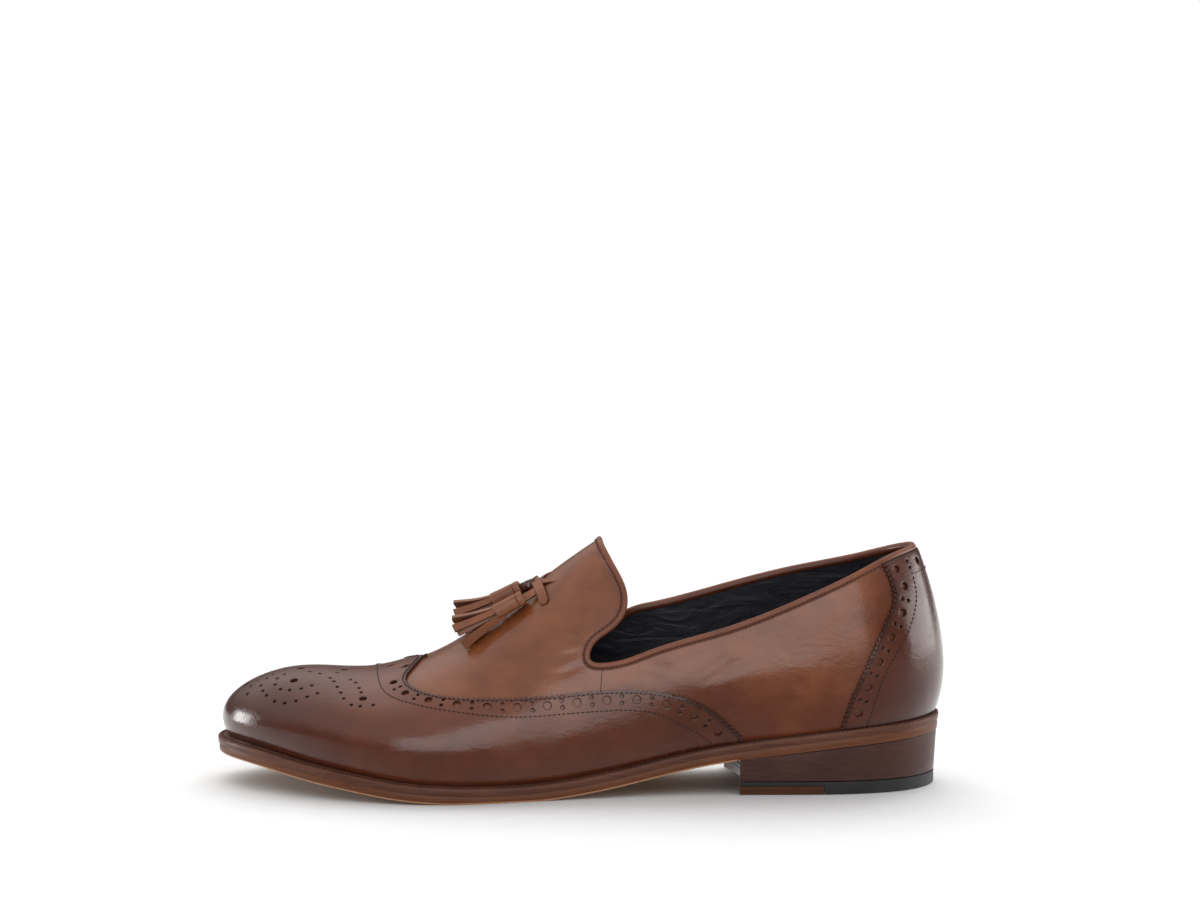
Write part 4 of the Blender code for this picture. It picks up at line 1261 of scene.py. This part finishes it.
def over_vamp(x, y, lift):
    """Point at a distance from the vamp, straight out from its surface, and the direction out."""
    height = vamp_height(x, y)
    slope_x = vamp_height(x + 0.5, y) - vamp_height(x - 0.5, y)
    slope_y = vamp_height(x, y + 0.5) - vamp_height(x, y - 0.5)
    normal = unit(np.array([-slope_x, -slope_y, 1.0]))
    return np.array([x, y, height]) + lift * normal, normal


def axis_frame(start, end):
    """Unit vectors along an axis, sideways and upwards."""
    along = unit(end - start)
    sideways = unit(np.cross([0, 0, 1.0], along))
    return along, sideways, np.cross(along, sideways)


def path_frames(path, facing):
    """Unit vectors across a path and out from it, towards one facing or one for each point."""
    ahead = unit(np.gradient(path, axis=0))
    across = unit(np.cross(facing, ahead))
    return across, np.cross(ahead, across)


def ribbon(path, facing, widths, thick):
    """Solid of a flat strip along a path, with eased edges."""
    across, over = path_frames(path, facing)
    rings = []
    for point, side, up, width in zip(path, across, over, np.broadcast_to(widths, len(path))):
        half, deep = width / 2, thick / 2
        ease = min(RIBBON_EASE, half * EASE_SHARE)
        corners = ((-half, -deep + ease), (-half, deep - ease), (-half + ease, deep), (half - ease, deep),
                   (half, deep - ease), (half, -deep + ease), (half - ease, -deep), (-half + ease, -deep))
        rings.append(np.array([point + out * side + rise * up for out, rise in corners]))
    return capped_loft(rings)


def bezier(points, count):
    """Points of a Bezier curve of any degree."""
    share = np.linspace(0, 1, count)[:, None]
    layer = [np.asarray(point, float) * np.ones((count, 1)) for point in points]
    while len(layer) > 1:
        layer = [first * (1 - share) + second * share for first, second in zip(layer, layer[1:])]
    return layer[0]


def tassel_cap(start, along, sideways, upward):
    """Wrapped head of a tassel: a short squarish tube of leather, flatter below, with a hem behind."""
    angles = np.linspace(0, 2 * np.pi, CAP_POINTS, endpoint=False)
    across, over = (np.sign(turn) * np.abs(turn) ** CAP_SQUARE for turn in (np.cos(angles), np.sin(angles)))
    over = over * np.where(angles > np.pi, CAP_UNDER, 1.0)
    outward = across[:, None] * sideways + over[:, None] * upward
    rings = [start + along * distance + (CAP_HALF + lift) * outward for distance, lift in CAP_SECTION]
    return np.concatenate(rings), ring_faces(len(rings), len(angles))


def strip_looks(part):
    """Finish of each face of a ribbon: its cut edges and ends are the second one."""
    bands = (len(part[1]) - 2) // 8
    return [1, 0, 0, 0, 1, 0, 0, 0] * bands + [1, 1]


def add_tassel(name, node, finishes):
    """Tassel of flat leather strips that fan out of a wrapped head."""
    start, end = (np.array(point) for point in TASSEL_PLACES[node][:2])
    along, sideways, upward = axis_frame(start, end)
    length = np.linalg.norm(end - start)
    parts = [tassel_cap(start, along, sideways, upward)]
    looks = [0] * len(parts[0][1])
    for root_side, root_up, end_side, end_up, turn, longer, width in STRIP_ROWS:
        root = root_side * sideways + root_up * upward
        spread = end_side * sideways + end_up * upward
        path = bezier((start + along * (CAP_LENGTH - STRIP_IN) + root,
                       start + along * (CAP_LENGTH + STRIP_OUT) + root * ROOT_SPREAD,
                       start + along * (length * BEND_ALONG) + spread * BEND_SPREAD,
                       start + along * (length + longer) + spread), STRIP_POINTS)
        facing = np.cos(np.radians(turn)) * sideways + np.sin(np.radians(turn)) * upward
        widths = width * np.linspace(STRIP_NARROW, 1.0, len(path))
        parts.append(ribbon(path, facing, widths, STRIP_THICK))
        looks += strip_looks(parts[-1])
    points, faces = merged(parts)
    tassel = add_mesh(name, points, faces, finishes, "calf_tassel", face_finish=looks, sharp=35.0)
    paint(tassel, np.full(len(points), TASSEL_BURNISH))
    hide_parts(node)


def keeper_band():
    """Band over the crossing straps, with rounded ends."""
    low, high = KEEPER_ENDS
    path, normals, widths = [], [], []
    for share in (1 - np.cos(np.linspace(0, np.pi, KEEPER_POINTS))) / 2:
        y = low + (high - low) * share
        rise = KEEPER_FOOT + KEEPER_RISE * np.sin(share * np.pi) ** KEEPER_FLAT
        point, normal = over_vamp(CROSSING[0] + KEEPER_SLANT * (y - CROSSING[1]), y, rise)
        path.append(point)
        normals.append(normal)
        from_end = min((y - low) / KEEPER_ROUND, (high - y) / KEEPER_ROUND, 1.0)
        widths.append(KEEPER_WIDTH - 2 * KEEPER_ROUND * (1 - np.sqrt(1 - (1 - from_end) ** 2)))
    return ribbon(np.array(path), np.array(normals), np.array(widths), KEEPER_THICK)


def strands(path, facing):
    """Two cords twisted round a path."""
    across, over = path_frames(path, facing)
    turn = np.linspace(0, 2 * np.pi * STRAND_TURNS, len(path))[:, None]
    parts = []
    for phase in (0.0, np.pi):
        swing = np.cos(turn + phase) * across + np.sin(turn + phase) * over
        winding = path + STRAND_HALF * STRAND_SPREAD * swing
        parts.append(ribbon(winding, swing, 2 * STRAND_HALF, 2 * STRAND_HALF))
    return parts


def thong_strap(neck, along, facing):
    """Flat strap from the outer tassel's head to the side of the crossing."""
    beside = CROSSING[0] + KEEPER_SLANT * STRAP_ASIDE, CROSSING[1] + STRAP_ASIDE
    under, _ = over_vamp(*beside, STRAP_LIFT)
    path = bezier((neck + along * LEAD_IN, neck - along * STRAP_OUT, under), LEAD_POINTS)
    return ribbon(path, facing, STRAP_WIDTH, STRAP_THICK)


def thong_cord(neck, along, normal):
    """Twisted cord from the inner tassel's head to the crossing."""
    crossing, _ = over_vamp(*CROSSING, CORD_LIFT)
    path = bezier((neck + along * LEAD_IN, neck - along * CORD_OUT, crossing), LEAD_POINTS)
    return strands(path, normal)


def thong_tail(slit, width, normal):
    """Tail of the thong, from the crossing down into its slit in the vamp."""
    half_way = (CROSSING[0] + slit[0]) / 2, (CROSSING[1] + slit[1]) / 2
    lifts = (CROSSING, TAIL_LIFT), (half_way, TAIL_LIFT), (slit, -SLIT_DEPTH)
    path = bezier([over_vamp(*spot, lift)[0] for spot, lift in lifts], TAIL_POINTS)
    return ribbon(path, normal, np.linspace(width, TAIL_TIP, len(path)), STRAP_THICK)


def add_thong(finishes):
    """Thong of the tassels: a strap and a twisted cord that cross on the vamp under a keeper."""
    parts, burnish = [keeper_band()], [TASSEL_BURNISH]
    _, normal = over_vamp(*CROSSING, 0.0)
    for node, (neck, end, slit) in TASSEL_PLACES.items():
        neck = np.array(neck)
        along, sideways, _ = axis_frame(neck, np.array(end))
        if node == "tassel_lateral":
            parts.append(thong_strap(neck, along, unit(normal + STRAP_LEAN * sideways)))
            burnish.append(TASSEL_BURNISH)
        else:
            parts += thong_cord(neck, along, normal)
            burnish += [CORD_BURNISH] * 2
        parts.append(thong_tail(slit, TAIL_WIDTHS[node], normal))
        burnish.append(TASSEL_BURNISH)
    looks = [look for part in parts for look in strip_looks(part)]
    points, faces = merged(parts)
    thong = add_mesh("tassel_thong", points, faces, finishes, "calf_tassel", face_finish=looks, sharp=35.0)
    paint(thong, np.repeat(burnish, [len(part[0]) for part in parts]))
    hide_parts("tassel_lace")


class Finish:
    """Node tree of one material; inputs are numbers, colours or sockets of other nodes."""

    def __init__(self, name, **values):
        self.material = bpy.data.materials.new(name)
        self.material.use_nodes = True
        self.nodes = self.material.node_tree.nodes
        self.links = self.material.node_tree.links
        self.shader = self.nodes["Principled BSDF"]
        self.place = self.nodes.new("ShaderNodeTexCoord").outputs["Object"]
        self.set(self.shader, values)

    def set(self, node, values):
        """Set or link inputs of a node by their names or numbers."""
        for name, value in values.items():
            socket = node.inputs[name] if isinstance(name, int) else node.inputs[name.replace("_", " ")]
            if isinstance(value, bpy.types.NodeSocket):
                self.links.new(value, socket)
            else:
                socket.default_value = value

    def node(self, kind, inputs, output=0, **settings):
        """A new node with its inputs and settings; returns one of its outputs."""
        node = self.nodes.new("ShaderNode" + kind)
        for name, value in settings.items():
            setattr(node, name, value)
        self.set(node, inputs)
        return node.outputs[output]

    def noise(self, size, detail=3.0, stretch=(1.0, 1.0, 1.0), distortion=0.0):
        """Noise with features of a size in millimetres, drawn out by the stretch of each axis."""
        stretched = self.node("Mapping", {"Vector": self.place, "Scale": stretch})
        inputs = {"Vector": stretched, "Scale": 1 / (size * MM), "Detail": detail, "Distortion": distortion}
        return self.node("TexNoise", inputs)

    def ramp(self, factor, stops):
        """Colours by a factor, from rows of a position and a colour."""
        node = self.nodes.new("ShaderNodeValToRGB")
        self.set(node, {"Fac": factor})
        points = node.color_ramp.elements
        while len(points) < len(stops):
            points.new(0.5)
        for point, (position, colour) in zip(points, stops):
            point.position = position
            point.color = (*colour, 1.0)
        return node.outputs[0]

    def sum(self, first, second):
        return self.node("Math", {0: first, 1: second}, operation="ADD")

    def span(self, noise, low, high):
        """A noise spread over a range."""
        start, end = NOISE_SPAN
        inputs = {"Value": noise, "From Min": start, "From Max": end, "To Min": low, "To Max": high}
        return self.node("MapRange", inputs)

    def bump(self, height, strength, distance, below=None):
        """Normals of a relief with a depth in millimetres, over those of another one if given."""
        inputs = {"Height": height, "Strength": strength, "Distance": distance * MM}
        if below is not None:
            inputs["Normal"] = below
        return self.node("Bump", inputs)

    def attribute(self, name):
        return self.node("Attribute", {}, output=2, attribute_name=name)

    def finish(self, **values):
        self.set(self.shader, values)
        return self.material


def calf_finish(name, roughness, coat):
    """Polished calf: burnished colour with mottling, fine grain and faint wrinkles."""
    look = Finish(name, Coat_Weight=coat, Coat_Roughness=0.12, Specular_IOR_Level=0.40)
    mottle = look.span(look.noise(16.0, 4.0, distortion=0.6), -0.10, 0.10)
    streak = look.span(look.noise(5.0, 3.0, (0.35, 1.0, 1.0)), -0.035, 0.035)
    # The burnish attribute also holds the painted shade low on the walls, over the waist and in the
    # binding's dip
    colour = look.ramp(look.sum(look.sum(look.attribute("burnish"), mottle), streak), CALF_STOPS)
    grain = look.noise(1.1, 2.0)
    wrinkle = look.noise(3.4, 2.0, (0.45, 1.0, 1.25), 0.8)
    normal = look.bump(grain, 0.22, 0.25, look.bump(wrinkle, 0.17, 0.6))
    rough = look.span(look.noise(9.0, 3.0), roughness - 0.05, roughness + 0.06)
    return look.finish(Base_Color=colour, Roughness=rough, Normal=normal)


def edge_finish(name, dark, light, roughness, layer):
    """Dyed leather edge: fibre streaks along the layers, waxed."""
    look = Finish(name, Coat_Weight=0.05, Coat_Roughness=0.3, Specular_IOR_Level=0.15)
    fibre = look.noise(layer, 4.0, (0.06, 0.06, 1.0))
    blotch = look.noise(14.0, 3.0)
    share = look.sum(look.span(fibre, 0.0, 0.65), look.span(blotch, 0.0, 0.35))
    colour = look.ramp(share, ((0.15, dark), (0.85, light)))
    normal = look.bump(fibre, 0.15, 0.12)
    rough = look.span(fibre, roughness - 0.06, roughness + 0.08)
    return look.finish(Base_Color=colour, Roughness=rough, Normal=normal)


def plain_finish(name, dark, light, roughness, size, strength):
    """Fine-grained surface with a little variation of tone."""
    look = Finish(name, Specular_IOR_Level=0.3)
    tone = look.noise(11.0, 4.0)
    grain = look.noise(size, 3.0)
    colour = look.ramp(tone, tuple(zip(NOISE_SPAN, (dark, light))))
    normal = look.bump(grain, strength, size * 0.3)
    rough = look.span(tone, roughness - 0.05, roughness + 0.05)
    return look.finish(Base_Color=colour, Roughness=rough, Normal=normal)


def lining_finish(dark, light):
    """Navy leather lining with soft lengthwise wrinkles, its colour painted darker in their troughs as
    shade.
    """
    look = Finish("lining", Coat_Weight=0.15, Coat_Roughness=0.35)
    wrinkle = look.noise(7.0, 3.0, (0.4, 1.0, 1.0), 1.2)
    grain = look.noise(0.9, 3.0)
    # Painted shade: the lining is darker in the troughs of its wrinkles and lighter on their ridges
    colour = look.ramp(wrinkle, ((0.3, dark), (0.75, light)))
    normal = look.bump(grain, 0.2, 0.2, look.bump(wrinkle, 0.5, 1.6))
    rough = look.span(grain, 0.42, 0.56)
    return look.finish(Base_Color=colour, Roughness=rough, Normal=normal)


def add_walls(calf):
    """Vamp and quarters, with a fine gap between them at the side seams."""
    seam = find(np.array([SEAM_PLACE]))[0][0]
    half_gap = SEAM_GAP / 2 / COLUMN_STEP
    columns, rows = VAMP_GRID
    front = np.linspace(seam + half_gap, LOOP - seam - half_gap, columns)
    vamp = add_shell("vamp", front, rows, (0.0, LINING_OUT), calf, "calf", UPPER_BURNISH)
    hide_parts("upper")
    columns, rows = QUARTER_GRID
    back = np.linspace(-seam + half_gap, seam - half_gap, columns)
    add_shell("quarters", back, rows, (0.0, LINING_OUT), calf, "calf", UPPER_BURNISH)


def add_lining(finish):
    """Lining inside the vamp and the quarters."""
    columns, rows = LINING_GRID
    around = np.linspace(0, LOOP, columns, endpoint=False)
    lifts = LINING_OUT - LINING_CLEAR, LINING_IN
    add_shell("lining", around, rows, lifts, finish, "lining_leather", 0.0, closed=True)


def add_panel(name, outline, large, small, finishes, base):
    """Punched sheet over the upper with holes of two sizes."""
    holes, guards = [], []
    for centres, (diameter, count) in ((large, LARGE_HOLE), (small, SMALL_HOLE)):
        holes += list(rings_around(centres, diameter / 2, count))
        guards += list(rings_around(centres, diameter / 2 + HOLE_GUARD, count))
    places, triangles = cut_sheet(outline, holes, guards)
    return add_leather(name, places, triangles, OVERLAY_IN, OVERLAY_OUT, finishes, "calf_burnished", base)


def add_wing(finishes):
    """Wing with its punched strip, and the medallion on the toe; returns its stitch rows."""
    edge, row = surface_curve(WING_EDGE), surface_curve(WING_ROW)
    for line in (edge, row):
        line[0][-1] = TOE_COLUMN
    large, small = strip_places(edge, row, HOLE_PITCH, HOLE_FIRST)
    large = picked(large, large[0] < find(np.array([STRIP_END]))[0][0])
    small = picked(small, small[0] < large[0].max())
    large = joined(large, mirrored(large), toe_places(MEDALLION_LARGE))
    small = joined(small, mirrored(small), toe_places(MEDALLION_SMALL))
    teeth = pinked(edge, -1)
    teeth[0][-1] = TOE_COLUMN
    far_teeth = picked(mirrored(teeth), slice(1, None))
    foot = np.arange(far_teeth[0][-1] - 1, teeth[0][0], -1.0)
    outline = flatten(*joined(teeth, far_teeth, (foot, np.full_like(foot, FOOT_ROW))))
    wing = add_panel("wing", outline, large, small, finishes, WING_BURNISH)
    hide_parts("wing_cap")
    rows = [picked(line, line[0] < TOE_COLUMN - 0.5) for line in (shifted(edge, EDGE_STITCH), row)]
    return [place(*side, OVERLAY_OUT) for line in rows for side in (line, mirrored(line))]


def add_counter(finishes):
    """Counter with punched strips at its sides and round the back; returns its stitch rows."""
    edge, row = surface_curve(COUNTER_EDGE), surface_curve(COUNTER_ROW)
    large, small = strip_places(edge, row, COUNTER_PITCH, COUNTER_FIRST)
    large = picked(large, large[1] < below_rim(large[0], STRIP_DROP))
    small = picked(small, small[1] < large[1].max())
    back, between = np.array(BACK_LARGE), np.array(BACK_SMALL)
    pairs = [(between, below_rim(between, drop)) for drop in BACK_SMALL_DROPS]
    large = joined(large, other_heel_side(large), (back, below_rim(back, BACK_LARGE_DROP)))
    small = joined(small, other_heel_side(small), *pairs)
    edge = picked(edge, edge[1] < below_rim(edge[0], COUNTER_DROP))
    teeth = pinked(edge, 1)
    collar = np.arange(teeth[0][-1] - 1, 1 - teeth[0][-1], -1.0)
    foot = np.arange(1 - teeth[0][0], teeth[0][0], 1.0)
    far_teeth = picked(other_heel_side(teeth), slice(None, None, -1))
    outline = flatten(*joined(teeth, (collar, below_rim(collar, COUNTER_DROP)), far_teeth,
                              (foot, np.full_like(foot, FOOT_ROW))))
    counter = add_panel("counter", outline, large, small, finishes, COUNTER_BURNISH)
    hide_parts("heel_counter")
    across = np.linspace(row[0][-1], 0, ROW_POINTS)
    turn = joined(row, (across, below_rim(across, ROW_DROP)))
    return [place(*side, OVERLAY_OUT) for line in (shifted(edge, -EDGE_STITCH), turn)
            for side in (line, other_heel_side(line))]


def add_binding(finish):
    """Rolled binding round the opening; returns its stitch row."""
    points, outward, upward = rim_frames()
    lifts, heights = np.array(BINDING_SECTION).T[:, None, :, None]
    profile = points[:, None] + lifts * outward[:, None] + heights * upward[:, None]
    faces = ring_faces(len(points), len(BINDING_SECTION))
    binding = add_solid("collar_roll", profile.reshape(-1, 3), faces, [finish], "calf_binding", sharp=70.0)
    # Burnish of the binding, with painted shade in the dip of its stitch groove
    paint(binding, np.tile(BINDING_BURNISH_AND_SHADE, len(points)))
    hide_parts("collar_binding")
    lift, height = BINDING_STITCH
    return closed_loop(points + lift * outward + height * upward), closed_loop(outward)


def add_camera():
    """Camera of the photo: it sees the shoe's origin in the same place of the picture."""
    rise = np.radians(CAMERA_RISE)
    pitch = rise - np.arctan((ORIGIN_Y - PHOTO_HEIGHT / 2) / CAMERA_FOCAL)
    yaw = np.arctan((PHOTO_WIDTH / 2 - ORIGIN_X) / CAMERA_FOCAL)
    ahead = np.array([np.sin(yaw) * np.cos(pitch), np.cos(yaw) * np.cos(pitch), -np.sin(pitch)])
    right = unit(np.cross(ahead, [0, 0, 1.0]))
    camera = bpy.data.objects.new("camera", bpy.data.cameras.new("camera"))
    camera.data.sensor_width = SENSOR
    camera.data.lens = CAMERA_FOCAL / PHOTO_WIDTH * SENSOR
    matrix = np.eye(4)
    matrix[:3, 0], matrix[:3, 1], matrix[:3, 2] = right, np.cross(right, ahead), -ahead
    matrix[:3, 3] = to_frame([0.0, -CAMERA_DISTANCE * np.cos(rise), CAMERA_DISTANCE * np.sin(rise)])
    camera.matrix_world = Matrix(matrix.tolist())
    bpy.context.collection.objects.link(camera)
    bpy.context.scene.camera = camera


def add_floor():
    """White floor under the shoe, a part of the stage."""
    reach = FLOOR_REACH
    floor = bpy.data.meshes.new("floor")
    floor.from_pydata([(-reach, -reach, 0), (reach, -reach, 0), (reach, reach, 0), (-reach, reach, 0)], [],
                      [(0, 1, 2, 3)])
    floor.materials.append(plain_finish("floor", *FLOOR_COLOURS, 0.8, 2.0, 0.02))
    floor = bpy.data.objects.new("floor", floor)
    bpy.context.collection.objects.link(floor)
    # In the photo the ground before the shoe is dark in the leather, so the leather does not mirror it
    floor.visible_glossy = False
    return floor


def add_world():
    """White studio, brighter upwards, and below the horizon from front to back."""
    scene = bpy.context.scene
    scene.view_settings.view_transform = "Standard"
    scene.world = bpy.data.worlds.new("studio")
    scene.world.use_nodes = True
    nodes, links = scene.world.node_tree.nodes, scene.world.node_tree.links
    heading = nodes.new("ShaderNodeSeparateXYZ")
    links.new(nodes.new("ShaderNodeTexCoord").outputs["Generated"], heading.inputs[0])
    strength = nodes.new("ShaderNodeMix")
    for socket, axis, rise in ((0, "Z", HORIZON), (2, "Y", GROUND_RISE), (3, "Z", SKY_RISE)):
        span = nodes.new("ShaderNodeMapRange")
        for name, value in zip(("From Min", "From Max", "To Min", "To Max"), rise):
            span.inputs[name].default_value = value
        links.new(heading.outputs[axis], span.inputs["Value"])
        links.new(span.outputs[0], strength.inputs[socket])
    links.new(strength.outputs[0], nodes["Background"].inputs["Strength"])
    nodes["Background"].inputs["Color"].default_value = (1.0, 1.0, 1.0, 1.0)


def aimed(name, lamp, position, target):
    """A lamp at a position, turned towards a target."""
    lamp_object = bpy.data.objects.new(name, lamp)
    lamp_object.location = position
    direction = Vector(target) - Vector(position)
    lamp_object.rotation_euler = direction.to_track_quat("-Z", "Y").to_euler()
    bpy.context.collection.objects.link(lamp_object)
    return lamp_object


def add_sun():
    """Broad light from above and behind, which the leather does not mirror."""
    sun = bpy.data.lights.new("top", "SUN")
    sun.energy = SUN_STRENGTH
    sun.angle = np.radians(SUN_ANGLE)
    aimed("top", sun, SUN_PLACE, (0.0, 0.0, 0.0)).visible_glossy = False


def add_boxes(floor):
    """Boxes of light round the shoe; the one at the front does not light the floor."""
    for name, (position, target, size, power) in BOXES.items():
        lamp = bpy.data.lights.new(name, "AREA")
        lamp.shape = "RECTANGLE"
        lamp.size, lamp.size_y = size
        lamp.energy = power
        box = aimed(name, lamp, position, target)
        if name == "front_box":
            # Light from the low front box would wash out the shadow under the sole
            unlit = bpy.data.collections.new("not_by_front_box")
            unlit.objects.link(floor)
            unlit.collection_objects[0].light_linking.link_state = "EXCLUDE"
            box.light_linking.receiver_collection = unlit


def add_shoe():
    """All pieces of the shoe with their finishes."""
    calf = calf_finish("calf", 0.24, 0.15)
    rolled = calf_finish("binding_calf", 0.38, 0.05)
    cut = plain_finish("cut_edge", *CUT_COLOURS, 0.6, 0.5, 0.3)
    add_walls(calf)
    add_lining(lining_finish(*LINING_SHADED_AND_LIT_COLOURS))
    thread_lines = add_wing([calf, cut]) + add_counter([calf, cut])
    thread_lines.append(add_binding(rolled))
    thread_lines.append(add_welt(edge_finish("welt_edge", *WELT_COLOURS, 0.42, 0.9)))
    edge = edge_finish("sole_side", *SOLE_COLOURS, 0.46, 0.8)
    trim = edge_finish("sole_trim", *TRIM_COLOURS, 0.5, 0.8)
    tread = plain_finish("sole_tread", *TREAD_COLOURS, 0.6, 1.2, 0.15)
    add_sole([edge, trim, tread])
    add_sock(plain_finish("sock", *SOCK_COLOURS, 0.5, 0.9, 0.2))
    add_heel(edge_finish("heel_side", *HEEL_COLOURS, 0.45, 0.55))
    add_lift(plain_finish("rubber", *RUBBER_COLOURS, 0.6, 0.6, 0.2))
    add_insert(edge_finish("insert_side", *INSERT_COLOURS, 0.5, 0.7))
    strips = [calf_finish("tassel_calf", 0.42, 0.15), cut]
    add_tassel("tassel_near", "tassel_lateral", strips)
    add_tassel("tassel_far", "tassel_medial", strips)
    add_thong(strips)
    thread = plain_finish("thread", *THREAD_COLOURS, 0.6, 0.5, 0.3)
    add_solid("stitching", *stitch_solids(thread_lines), [thread], "calf")


def main():
    add_shoe()
    floor = add_floor()
    add_world()
    add_sun()
    add_boxes(floor)
    add_camera()


main()
